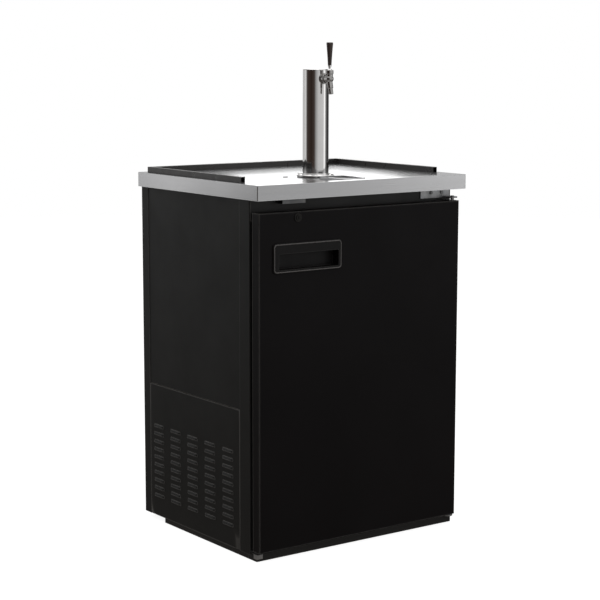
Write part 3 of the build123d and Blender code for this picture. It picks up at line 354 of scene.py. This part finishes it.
# ------------------------------------------------------------------ materials
class Shader:
    """A Principled material with short helpers for procedural detail."""

    def __init__(self, name):
        self.material = bpy.data.materials.new(name)
        self.material.use_nodes = True
        self.tree = self.material.node_tree
        self.bsdf = self.tree.nodes["Principled BSDF"]
        self.coord = self.add("ShaderNodeTexCoord").outputs["Object"]

    def add(self, kind, **values):
        node = self.tree.nodes.new(kind)
        for key, value in values.items():
            setattr(node, key, value)
        return node

    def link(self, a, b):
        self.tree.links.new(a, b)

    def set(self, **values):
        for key, value in values.items():
            self.bsdf.inputs[key.replace("_", " ")].default_value = value

    def stretched(self, scale):
        """Object coordinates scaled by axis, in cells per metre."""
        mapping = self.add("ShaderNodeMapping")
        mapping.inputs["Scale"].default_value = scale
        self.link(self.coord, mapping.inputs[0])
        return mapping.outputs[0]

    def noise(self, scale, detail=3.0, roughness=0.5, vector=None):
        node = self.add("ShaderNodeTexNoise")
        node.inputs["Scale"].default_value = scale
        node.inputs["Detail"].default_value = detail
        node.inputs["Roughness"].default_value = roughness
        self.link(vector or self.coord, node.inputs["Vector"])
        return node.outputs["Fac"]

    def cells(self, scale):
        node = self.add("ShaderNodeTexVoronoi", feature="F1")
        node.inputs["Scale"].default_value = scale
        self.link(self.coord, node.inputs["Vector"])
        return node.outputs["Distance"]

    def ramp(self, value, stops):
        """Maps a value through (place, colour or level) stops."""
        node = self.add("ShaderNodeValToRGB")
        while len(node.color_ramp.elements) < len(stops):
            node.color_ramp.elements.new(0.5)
        for element, (place, level) in zip(node.color_ramp.elements, stops):
            element.position = place
            element.color = (*level, 1) if isinstance(level, tuple) else (level, level, level, 1)
        self.link(value, node.inputs[0])
        return node.outputs["Color"]

    def math(self, kind, a, b):
        node = self.add("ShaderNodeMath", operation=kind)
        for socket, value in zip(node.inputs, (a, b)):
            if isinstance(value, (int, float)):
                socket.default_value = value
            else:
                self.link(value, socket)
        return node.outputs[0]

    def bump(self, height, strength, distance, before=None):
        node = self.add("ShaderNodeBump")
        node.inputs["Strength"].default_value = strength
        node.inputs["Distance"].default_value = distance
        self.link(height, node.inputs["Height"])
        if before is not None:
            self.link(before, node.inputs["Normal"])
        return node.outputs[0]

    def edges(self, radius):
        """0 on flat faces, rising to 1 close to the piece's edges and folds."""
        rounded = self.add("ShaderNodeBevel", samples=8)
        rounded.inputs["Radius"].default_value = radius
        dot = self.add("ShaderNodeVectorMath", operation="DOT_PRODUCT")
        self.link(rounded.outputs[0], dot.inputs[0])
        self.link(self.add("ShaderNodeNewGeometry").outputs["Normal"], dot.inputs[1])
        bent = self.math("SUBTRACT", 1.0, dot.outputs["Value"])
        return self.ramp(bent, [(0.01, 0.0), (0.16, 1.0)])

    def painted_edge_highlight(self, output, radius, tint):
        """Painted highlight: lightens a colour towards a plain tint close to the piece's edges."""
        return self.mixed(self.edges(radius), output, tint)

    def mixed(self, share, output, tint):
        """A colour output blended towards a plain tint by a 0 to 1 share."""
        mix = self.add("ShaderNodeMix", data_type="RGBA")
        self.link(share, mix.inputs["Factor"])
        self.link(output, mix.inputs["A"])
        mix.inputs["B"].default_value = (*tint, 1)
        return mix.outputs["Result"]

    def colour(self, output):
        self.link(output, self.bsdf.inputs["Base Color"])

    def rough(self, output):
        self.link(output, self.bsdf.inputs["Roughness"])

    def normal(self, output):
        self.link(output, self.bsdf.inputs["Normal"])


def vinyl_steel(name, dark, light, low, high, specular, edge=(0.115, 0.110, 0.105)):
    """Black vinyl-coated steel: fine leather emboss, a painted highlight along the edges, uneven sheen."""
    s = Shader(name)
    s.set(Specular_IOR_Level=specular, IOR=1.5)
    tone = s.noise(3.0, 4.0)
    grain = s.cells(950.0)
    fine = s.noise(1400.0, 2.0)
    blend = s.math("ADD", s.math("MULTIPLY", tone, 0.75), s.math("MULTIPLY", fine, 0.25))
    # painted highlight: the colour turns to the pale edge tint close to edges and folds
    s.colour(s.painted_edge_highlight(s.ramp(blend, [(0.35, dark), (0.70, light)]), 4.0 * MM, edge))
    smudge = s.noise(9.0, 5.0, 0.6)
    s.rough(s.ramp(smudge, [(0.3, low), (0.75, high)]))
    first = s.bump(grain, 0.35, 0.00012)
    s.normal(s.bump(s.noise(14.0, 2.0), 0.10, 0.0012, first))
    return s.material


def brushed_steel(name, direction, tone=0.50, rough=(0.19, 0.29)):
    """Stainless sheet, brushed along one axis (0 X, 1 Y, 2 Z), with fine scratches, finger haze and a
    painted highlight along its edges.
    """
    s = Shader(name)
    s.set(Metallic=1.0)
    scale = [900.0, 900.0, 900.0]
    scale[direction] = 6.0
    streaks = s.noise(1.0, 4.0, 0.65, s.stretched(scale))
    wide = [120.0, 120.0, 120.0]
    wide[direction] = 0.8
    bands = s.noise(1.0, 2.0, 0.5, s.stretched(wide))
    haze = s.noise(5.0, 4.0, 0.6)
    blend = s.math("ADD", s.math("MULTIPLY", streaks, 0.6), s.math("MULTIPLY", bands, 0.4))
    low, high = tone * 0.97, tone * 1.02
    sheet = s.ramp(blend, [(0.3, (low, low, low * 1.01)), (0.7, (high, high, high * 1.01))])
    # painted highlight: close to edges the sheet turns pale and less metallic, as a bright edge line
    fold = s.edges(2.6 * MM)
    s.colour(s.mixed(fold, sheet, (0.80, 0.80, 0.81)))
    s.link(s.math("SUBTRACT", 1.0, s.math("MULTIPLY", fold, 0.75)), s.bsdf.inputs["Metallic"])
    rough_mix = s.math("ADD", s.math("MULTIPLY", streaks, 0.5), s.math("MULTIPLY", haze, 0.5))
    s.rough(s.ramp(rough_mix, [(0.3, rough[0]), (0.7, rough[1])]))
    s.normal(s.bump(streaks, 0.06, 0.00004))
    return s.material


def chrome(name, tint=(0.78, 0.77, 0.76), rough=(0.04, 0.09)):
    """Polished chrome plate with water spots and faint polishing lines."""
    s = Shader(name)
    s.set(Metallic=1.0)
    spots = s.cells(130.0)
    film = s.noise(22.0, 4.0)
    s.colour(s.ramp(film, [(0.3, tuple(c * 0.94 for c in tint)), (0.7, tint)]))
    marks = s.math("ADD", s.math("MULTIPLY", film, 0.7), s.math("MULTIPLY", spots, 0.3))
    s.rough(s.ramp(marks, [(0.3, rough[0]), (0.8, rough[1])]))
    s.normal(s.bump(s.noise(400.0, 2.0, 0.5, s.stretched((1, 1, 0.05))), 0.03, 0.00004))
    return s.material


def moulded(name, colour, rough=(0.35, 0.5), grain=1500.0, depth=0.00005, specular=0.5, edge=None):
    """Moulded plastic with a spark-eroded texture, uneven gloss and, where an edge tint is given, a painted
    highlight along its edges.
    """
    s = Shader(name)
    s.set(Specular_IOR_Level=specular)
    tone = s.noise(30.0, 3.0)
    low, high = tuple(c * 0.88 for c in colour), tuple(min(c * 1.10, 1.0) for c in colour)
    body = s.ramp(tone, [(0.3, low), (0.7, high)])
    # painted highlight along the edges when an edge tint is given
    s.colour(body if edge is None else s.painted_edge_highlight(body, 2.0 * MM, edge))
    s.rough(s.ramp(s.noise(45.0, 4.0), [(0.3, rough[0]), (0.7, rough[1])]))
    s.normal(s.bump(s.cells(grain), 0.35, depth))
    return s.material


def rubber(name, colour=(0.018, 0.018, 0.019)):
    """Matte black rubber with bloom and fine pitting."""
    s = Shader(name)
    s.set(Specular_IOR_Level=0.3)
    bloom = s.noise(60.0, 5.0, 0.65)
    s.colour(s.ramp(bloom, [(0.35, colour), (0.8, tuple(c * 1.9 for c in colour))]))
    s.rough(s.ramp(bloom, [(0.3, 0.62), (0.8, 0.85)]))
    s.normal(s.bump(s.noise(2200.0, 2.0), 0.25, 0.00006))
    return s.material


def stucco_aluminium(name):
    """Chamber lining: aluminium sheet with a stucco emboss."""
    s = Shader(name)
    s.set(Metallic=0.85)
    emboss = s.noise(160.0, 2.0, 0.45)
    s.colour(s.ramp(s.noise(6.0, 3.0), [(0.3, (0.66, 0.67, 0.68)), (0.7, (0.78, 0.79, 0.80))]))
    s.rough(s.ramp(emboss, [(0.3, 0.30), (0.7, 0.45)]))
    s.normal(s.bump(emboss, 0.6, 0.0005))
    return s.material


def zinc(name, tone=0.34):
    """Zinc-plated steel with a faint spangle and dull patches."""
    s = Shader(name)
    s.set(Metallic=1.0)
    spangle = s.cells(55.0)
    low, high = tone * 0.9, tone * 1.12
    s.colour(s.ramp(spangle, [(0.1, (low, low * 1.02, low * 1.05)), (0.8, (high, high, high))]))
    s.rough(s.ramp(s.noise(35.0, 4.0), [(0.3, 0.28), (0.7, 0.48)]))
    s.normal(s.bump(s.noise(500.0, 3.0), 0.15, 0.00005))
    return s.material


def foam(name):
    """Yellowed polyurethane foam with open pores."""
    s = Shader(name)
    s.set(Specular_IOR_Level=0.2)
    pores = s.cells(420.0)
    s.colour(s.ramp(pores, [(0.0, (0.62, 0.52, 0.27)), (0.6, (0.86, 0.78, 0.5))]))
    s.rough(s.ramp(pores, [(0.2, 0.8), (0.7, 0.95)]))
    s.normal(s.bump(pores, 0.6, 0.0006))
    return s.material


def board(name):
    """Stiffening board with a wood grain along its width."""
    s = Shader(name)
    rings = s.noise(1.0, 5.0, 0.6, s.stretched((3, 60, 60)))
    s.colour(s.ramp(rings, [(0.3, (0.36, 0.25, 0.14)), (0.7, (0.60, 0.46, 0.30))]))
    s.rough(s.ramp(rings, [(0.3, 0.6), (0.7, 0.8)]))
    s.normal(s.bump(rings, 0.3, 0.0004))
    return s.material


def copper(name):
    """Copper tube, dull where it has tarnished."""
    s = Shader(name)
    s.set(Metallic=1.0)
    patina = s.noise(40.0, 5.0, 0.6)
    s.colour(s.ramp(patina, [(0.3, (0.46, 0.20, 0.11)), (0.6, (0.86, 0.47, 0.30))]))
    s.rough(s.ramp(patina, [(0.3, 0.45), (0.7, 0.22)]))
    s.normal(s.bump(s.noise(300.0, 3.0), 0.1, 0.00005))
    return s.material


def clear_hose(name):
    """Food-grade hose: milky, a little see-through, with a soft sheen."""
    s = Shader(name)
    s.set(Transmission_Weight=0.35, IOR=1.45)
    cloud = s.noise(50.0, 4.0)
    s.colour(s.ramp(cloud, [(0.3, (0.72, 0.76, 0.76)), (0.7, (0.88, 0.90, 0.90))]))
    s.rough(s.ramp(cloud, [(0.3, 0.18), (0.7, 0.32)]))
    s.normal(s.bump(s.noise(700.0, 2.0), 0.08, 0.00004))
    return s.material


def paint_all():
    """Gives every CAD node a material: that of its slot or, for the nodes listed in own, a material of
    their own.
    """
    made = {
        "cabinet_black": vinyl_steel(
            "cabinet_black", (0.0070, 0.0071, 0.0066), (0.0108, 0.0108, 0.0100), 0.40, 0.52, 0.20
        ),
        "door_black": vinyl_steel(
            "door_black", (0.0038, 0.0030, 0.0033), (0.0062, 0.0050, 0.0054), 0.38, 0.50, 0.10
        ),
        "stainless": brushed_steel("stainless", 0),
        "zinc_steel": zinc("zinc_steel"),
        "chrome": chrome("chrome"),
        "black_plastic": moulded("black_plastic", (0.012, 0.0115, 0.0115)),
        "grey_plastic": moulded("grey_plastic", (0.42, 0.42, 0.42)),
        "white_plastic": moulded("white_plastic", (0.78, 0.79, 0.78), (0.25, 0.38), 900.0, 0.00003),
        "rubber": rubber("rubber"),
        "liner": stucco_aluminium("liner"),
        "foam": foam("foam"),
        "board": board("board"),
        "hose": clear_hose("hose"),
        "copper": copper("copper"),
        "fins": zinc("fins", 0.68),
        "machine_black": moulded("machine_black", (0.015, 0.015, 0.016), (0.25, 0.4), 700.0, 0.00008),
        "fan_metal": brushed_steel("fan_metal", 2, 0.6, (0.3, 0.45)),
    }
    grip = (0.052, 0.036, 0.031)
    made["grip_brown"] = moulded("grip_brown", grip, (0.32, 0.45), 1300.0, 0.00003, 0.35)
    made["lock_dark"] = chrome("lock_dark", (0.022, 0.021, 0.020), (0.18, 0.30))
    made["faucet_chrome"] = chrome("faucet_chrome", (0.44, 0.43, 0.42), (0.06, 0.12))
    made["strike_steel"] = zinc("strike_steel", 0.14)
    made["hinge_steel"] = zinc("hinge_steel", 0.25)
    made["header_black"] = vinyl_steel(
        "header_black", (0.0095, 0.0090, 0.0086), (0.0135, 0.0130, 0.0122), 0.36, 0.48, 0.30
    )
    # guard rail: the last tint is a painted highlight on its edges
    made["rail_black"] = moulded(
        "rail_black", (0.026, 0.024, 0.023), (0.26, 0.38), 1500.0, 0.00003, 0.5, (0.085, 0.080, 0.077)
    )
    # handle rim bead: a grey far paler than the handle black, a painted highlight
    made["rim_painted_highlight"] = moulded("rim_painted_highlight", (0.095, 0.088, 0.085), (0.24, 0.34), 1500.0, 0.00002)
    # door handle: the last tint is a painted highlight on its edges
    made["handle_black"] = moulded(
        "handle_black", (0.0065, 0.0058, 0.0058), (0.34, 0.46), 1400.0, 0.00004, 0.16, (0.055, 0.052, 0.050)
    )
    own = {
        "lock_housing": "lock_dark",
        "lock_cylinder": "lock_dark",
        "faucet_body": "faucet_chrome",
        "coupling_nut": "faucet_chrome",
        "faucet_shank": "faucet_chrome",
        "strike_bracket": "strike_steel",
        "upper_hinge_bracket": "hinge_steel",
        "bracket_screws": "strike_steel",
        "front_header": "header_black",
        "front_apron": "header_black",
        "base_rails": "header_black",
        "guard_rail": "rail_black",
        "door_handle": "handle_black",
    }
    for entry in frame["record"]["subparts"]:
        node = entry["node"]
        give(NODES[node], made[own.get(node, entry["material_slot"])])
    return made


def give(piece, material):
    piece.data.materials.clear()
    piece.data.materials.append(material)


# ------------------------------------------------------------------ pieces built here
def span(node):
    """A node's lowest and highest corners as vectors."""
    low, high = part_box(node)
    return Vector(low), Vector(high)


def stand_in(piece, node, body, slot):
    """Puts a piece in place of a CAD node: hides the node, hangs the piece on the given body and gives it
    the slot's material.
    """
    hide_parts(node)
    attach(piece, body)
    give(piece, MATERIALS[slot])
    return piece


def tower():
    """Chrome column, domed cap and cast foot as fine turned shells."""
    low, high = span("tower_column")
    x, y = (low.x + high.x) / 2, (low.y + high.y) / 2
    r = (high.x - low.x) / 2
    wall = 1.5 * MM
    tube = [(r - wall, low.z), (r, low.z), (r, high.z - 0.3 * MM), (r - 0.3 * MM, high.z)]
    tube += [(r - wall, high.z), (r - wall, low.z)]
    column = mesh_object("tower_tube", *lathe(tube, 240, (x, y, 0)), smooth_angle=35)
    stand_in(column, "tower_column", "cabinet", "chrome")

    low, high = span("tower_cap")
    seat = span("tower_column")[1].z
    edge = 3 * MM
    dome = [(AXIS, high.z), (r * 0.5, high.z - 0.05 * MM), (r - 2 * edge, high.z - 0.3 * MM)]
    dome += arc(r - edge, high.z - edge - 0.2 * MM, edge, 80, 0, 8)
    dome += [(r, seat + 0.35 * MM), (r - 0.4 * MM, seat + 0.05 * MM), (r - 1.7 * MM, seat + 0.05 * MM)]
    dome += [(r - 1.7 * MM, low.z), (r - 4.5 * MM, low.z), (r - 4.5 * MM, seat), (AXIS, seat)]
    cap = mesh_object("tower_lid", *lathe(dome, 240, (x, y, 0)), smooth_angle=35)
    stand_in(cap, "tower_cap", "cabinet", "chrome")

    low, high = span("tower_flange")
    rim = (high.x - low.x) / 2
    collar = r + 3 * MM
    plate = low.z + 6 * MM
    foot = [(r + 0.05 * MM, low.z), (rim - 1 * MM, low.z), (rim, low.z + 0.8 * MM)]
    foot += arc(rim - 2.2 * MM, plate - 2.2 * MM, 2.2 * MM, 0, 90, 6)
    foot += [(collar + 2.6 * MM, plate)]
    foot += arc(collar + 2.2 * MM, plate + 2.2 * MM, 2.2 * MM, 270, 180, 5)
    foot += arc(collar - 1 * MM, high.z - 1 * MM, 1 * MM, 0, 90, 4)
    foot += [(r + 0.05 * MM, high.z), (r + 0.05 * MM, low.z)]
    flange = mesh_object("tower_foot", *lathe(foot, 200, (x, y, 0)), smooth_angle=35)
    stand_in(flange, "tower_flange", "cabinet", "chrome")


def tap_grip():
    """Tapered tap handle: turned body with a softly domed top and a narrow ferrule below, all in the grip's
    brown.
    """
    low, high = span("tap_handle")
    x, y = (low.x + high.x) / 2, (low.y + high.y) / 2
    top = (high.x - low.x) / 2
    foot = 5.0 * MM
    tall = high.z - low.z
    outline = [(3.6 * MM, low.z + 6 * MM), (3.6 * MM, low.z)]
    outline += [(foot - 0.5 * MM, low.z), (foot, low.z + 0.5 * MM)]
    for step in range(1, 13):
        t = step / 13
        swell = 0.35 * MM * sin(pi * t)
        outline.append((foot + (top - foot) * t - swell, low.z + tall * t * 0.95))
    outline += arc(top - 2.4 * MM, high.z - 2.4 * MM, 2.4 * MM, 8, 90, 6)
    outline += [(top * 0.4, high.z), (AXIS, high.z)]
    grip = mesh_object("tap_grip", *lathe(outline, 96, (x, y, 0)), smooth_angle=40)
    stand_in(grip, "tap_handle", "tap", "black_plastic")
    give(grip, MATERIALS["grip_brown"])


LOUVRE_COLUMNS, LOUVRE_ROWS = 5, 10
LOUVRE_PITCH = (88.6 * MM, 22.6 * MM)
LOUVRE_SIZE = (50 * MM, 8 * MM)
LOUVRE_FIRST = (-139.2 * MM, 72 * MM)
HOOD_END = 9 * MM
HOOD_STEPS = (18, 7)


def hood_height(u, v, proud):
    """How far a hood stands out: full at its lip, rounded at both ends, easing into the plate."""
    beyond = max(0.0, abs(u) - (LOUVRE_SIZE[0] / 2 - HOOD_END)) / HOOD_END
    ends = sqrt(max(0.0, 1.0 - beyond * beyond))
    return proud * ends * cos(v * pi / 2) ** 0.75


def louvred_panel():
    """Vented panel as pressed sheet: hoods with rounded ends drawn out of one plate."""
    low, high = span("louvred_side_panel")
    face = high.x - 2 * MM
    proud = face - low.x - 0.15 * MM
    ys, zs = [low.y], [low.z]
    for column in range(LOUVRE_COLUMNS):
        middle = LOUVRE_FIRST[0] + column * LOUVRE_PITCH[0]
        for i in range(HOOD_STEPS[0] + 1):
            # ends are sampled closer together, where the hood curves most
            t = -cos(pi * i / HOOD_STEPS[0])
            ys.append(middle + t * LOUVRE_SIZE[0] / 2)
    for row in range(LOUVRE_ROWS):
        base = LOUVRE_FIRST[1] + row * LOUVRE_PITCH[1]
        zs += [base + LOUVRE_SIZE[1] * i / HOOD_STEPS[1] for i in range(HOOD_STEPS[1] + 1)]
    ys.append(high.y)
    zs.append(high.z)

    def cell(y, z):
        """Column and row of the hood whose footprint holds a point, or None."""
        column = round((y - LOUVRE_FIRST[0]) / LOUVRE_PITCH[0])
        row = int((z - LOUVRE_FIRST[1] + 1e-6) // LOUVRE_PITCH[1])
        u = y - LOUVRE_FIRST[0] - column * LOUVRE_PITCH[0]
        v = (z - LOUVRE_FIRST[1] - row * LOUVRE_PITCH[1]) / LOUVRE_SIZE[1]
        inside = 0 <= column < LOUVRE_COLUMNS and 0 <= row < LOUVRE_ROWS
        if inside and abs(u) <= LOUVRE_SIZE[0] / 2 + 1e-6 and -1e-4 <= v <= 1 + 1e-4:
            return u, min(max(v, 0.0), 1.0)
        return None

    verts, faces, index = [], [], {}

    def corner(i, j, under):
        """Vertex of the grid; on a lip line the plate below keeps its own vertex."""
        place = cell(ys[i], zs[j])
        height = 0.0
        lip = False
        if place is not None:
            u, v = place
            height = hood_height(u, v, proud)
            lip = v < 1e-3 and height > 1e-6
        if lip and under:
            height = 0.0
        key = (i, j, lip and under)
        if key not in index:
            index[key] = len(verts)
            verts.append((face - height, ys[i], zs[j]))
        return index[key]

    for i in range(len(ys) - 1):
        for j in range(len(zs) - 1):
            low_side = (corner(i, j, False), corner(i + 1, j, False))
            faces.append((*low_side, corner(i + 1, j + 1, True), corner(i, j + 1, True)))
    rim = 3.5 * MM
    first = len(verts)
    fold = [(low.y, low.z), (high.y, low.z), (high.y, high.z), (low.y, high.z)]
    verts += [(face, y, z) for y, z in fold]
    verts += [(face + rim, y, z) for y, z in fold]
    for k in range(4):
        after = (k + 1) % 4
        faces.append((first + k, first + after, first + 4 + after, first + 4 + k))
    panel = mesh_object("louvred_panel", verts, faces, smooth_angle=22)
    sheet = panel.modifiers.new("sheet", "SOLIDIFY")
    sheet.thickness = 0.9 * MM
    sheet.offset = -1.0
    flatten = panel.modifiers.new("flatten", "WEIGHTED_NORMAL")
    flatten.keep_sharp = True
    flatten.weight = 100
    stand_in(panel, "louvred_side_panel", "cabinet", "cabinet_black")


def gasket():
    """Magnetic door seal: fixing strip, two bellows folds and the magnet bulb, mitred all round."""
    low, high = span("door_gasket")
    depth = high.y - low.y
    across = 19 * MM
    outline = [(0, 0), (across, 0), (across, 0.16), (0.80 * across, 0.20), (0.72 * across, 0.42)]
    outline += [(0.86 * across, 0.56), (0.90 * across, 0.74), (0.84 * across, 0.92), (0.70 * across, 1.0)]
    outline += [(0.30 * across, 1.0), (0.16 * across, 0.92), (0.10 * across, 0.74), (0.14 * across, 0.56)]
    outline += [(0.28 * across, 0.42), (0.20 * across, 0.20), (0, 0.16)]
    verts, faces = [], []
    for inset, back in outline:
        y = low.y + back * depth
        x0, x1, z0, z1 = low.x + inset, high.x - inset, low.z + inset, high.z - inset
        verts += [(x0, y, z0), (x1, y, z0), (x1, y, z1), (x0, y, z1)]
    count = len(outline)
    for p in range(count):
        q = (p + 1) % count
        for k in range(4):
            after = (k + 1) % 4
            faces.append((4 * p + k, 4 * p + after, 4 * q + after, 4 * q + k))
    seal = mesh_object("gasket_seal", verts, faces, smooth_angle=50)
    round_over = seal.modifiers.new("round", "BEVEL")
    round_over.width = 0.5 * MM
    round_over.segments = 2
    stand_in(seal, "door_gasket", "door", "rubber")


SCREW_SIZE = 3.2 * MM
INLET_SCREW_SIZE = 1.6 * MM
SCREW_INSET = 14 * MM


def hex_screw(name, centre, facing, size=SCREW_SIZE):
    """Sheet-metal screw: washer face, chamfered hexagon and a dished crown."""
    turned = [(size * 1.5, 0), (size * 1.5, 0.5 * MM), (size * 1.35, 0.8 * MM), (size * 1.1, 0.9 * MM)]
    verts, faces = lathe([(AXIS, 0)] + turned + [(AXIS, 0.9 * MM)], 36)
    rings = []
    for r, z in ((1.0, 0.8), (1.0, 2.1), (0.9, 2.5), (0.55, 2.45), (0.3, 2.2)):
        ring = []
        for k in range(6):
            angle = pi * k / 3
            ring.append(Vector((size * r * cos(angle), size * r * sin(angle), z * MM)))
        rings.append(ring)
    more, caps = sweep_rings(rings)
    faces += [tuple(len(verts) + i for i in face) for face in caps]
    verts = [Vector(v) for v in verts] + more
    turn = Vector((0, 0, 1)).rotation_difference(Vector(facing)).to_matrix()
    placed = [turn @ v + Vector(centre) for v in verts]
    screw = mesh_object(name, placed, faces, smooth_angle=30)
    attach(screw, "cabinet")
    give(screw, MATERIALS["zinc_steel"])


def rear_screws():
    """Screws of the two rear covers and of the mains inlet."""
    low, high = span("rear_vent_cover")
    row = 0
    for z in (low.z + SCREW_INSET, high.z - 10 * MM):
        for k in range(4):
            x = low.x + SCREW_INSET + k * (high.x - low.x - 2 * SCREW_INSET) / 3
            hex_screw(f"rear_screw_{row}_{k}", (x, high.y, z), (0, 1, 0))
        row += 1
    low, high = span("back_panel")
    for k in range(4):
        x = low.x + SCREW_INSET + k * (high.x - low.x - 2 * SCREW_INSET) / 3
        hex_screw(f"rear_screw_2_{k}", (x, high.y, low.z + 12 * MM), (0, 1, 0))
    low, high = span("power_inlet")
    for k, x in enumerate((low.x + 5.5 * MM, high.x - 5.5 * MM)):
        seat = high.y - 1.9 * MM
        hex_screw(f"inlet_screw_{k}", (x, seat, (low.z + high.z) / 2), (0, 1, 0), INLET_SCREW_SIZE)


def handle_rim():
    """Raised bead round the bezel of the recessed door handle, coloured far paler than the handle as a
    painted highlight.
    """
    low, high = span("door_handle")
    face = low.y + 0.4 * MM
    bead = 1.6 * MM
    inset = 3.4 * MM
    radius = 8 * MM
    x0, x1 = low.x + inset + radius, high.x - inset - radius
    z0, z1 = low.z + inset + radius, high.z - inset - radius
    path = []
    for cx, cz, start in ((x1, z1, 0), (x0, z1, 90), (x0, z0, 180), (x1, z0, 270)):
        for step in range(9):
            angle = radians(start + 90 * step / 8)
            path.append((cx, cz, cos(angle), sin(angle)))
    verts, faces = [], []
    around = 12
    for cx, cz, ox, oz in path:
        for k in range(around):
            turn = 2 * pi * k / around
            out = radius + bead * cos(turn)
            verts.append((cx + ox * out, face - bead * sin(turn), cz + oz * out))
    for p in range(len(path)):
        q = (p + 1) % len(path)
        for k in range(around):
            after = (k + 1) % around
            faces.append((around * p + k, around * q + k, around * q + after, around * p + after))
    rim = mesh_object("handle_rim", verts, faces, smooth_angle=60)
    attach(rim, "door")
    give(rim, MATERIALS["rim_painted_highlight"])


def corner_plate():
    """Bright folded plate on the front left corner of the base frame."""
    low = span("base_rails")[0]
    thick = 1.2 * MM
    x0, x1 = low.x - thick, low.x + 18 * MM
    y0, y1 = low.y - thick, low.y + 14 * MM
    plan = [(x0, y1), (x0, y0 + 1 * MM), (x0 + 1 * MM, y0), (x1, y0)]
    plan += [(x1, y0 + thick), (x0 + thick, y0 + thick), (x0 + thick, y1)]
    rings = [[Vector((x, y, z)) for x, y in plan] for z in (low.z + 7 * MM, low.z + 19 * MM)]
    plate = mesh_object("corner_plate", *sweep_rings(rings), smooth_angle=30)
    soften(plate, 0.25 * MM, 2)
    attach(plate, "cabinet")
    give(plate, MATERIALS["zinc_steel"])


# ------------------------------------------------------------------ build
def cast_smooth(node, voxel, passes):
    """Blends a CAD node's joins into one cast surface."""
    piece = NODES[node]
    remesh = piece.modifiers.new("cast", "REMESH")
    remesh.mode = "VOXEL"
    remesh.voxel_size = voxel
    remesh.use_smooth_shade = True
    relax = piece.modifiers.new("relax", "SMOOTH")
    relax.factor = 0.5
    relax.iterations = passes


def dress_cad():
    """Edge rounding by the size of the piece."""
    fine = {"bracket_screws", "tower_screws", "coupling_nut", "lock_cylinder", "lock_housing", "tap_lever"}
    broad = {"worktop": 0.9 * MM, "guard_rail": 1.5 * MM, "door_handle": 0.6 * MM}
    for node in NODES:
        if node == "faucet_body":
            cast_smooth(node, 0.5 * MM, 5)
        elif node in broad:
            smooth_cad(node, broad[node], 3)
        elif node in fine:
            smooth_cad(node, 0.2 * MM)
        else:
            smooth_cad(node)


make_camera()
make_world()
make_floor()
make_floor_shade()
make_lights()
MATERIALS = paint_all()
dress_cad()
tower()
tap_grip()
louvred_panel()
gasket()
handle_rim()
rear_screws()
corner_plate()

bpy.context.scene.view_settings.view_transform = "Standard"
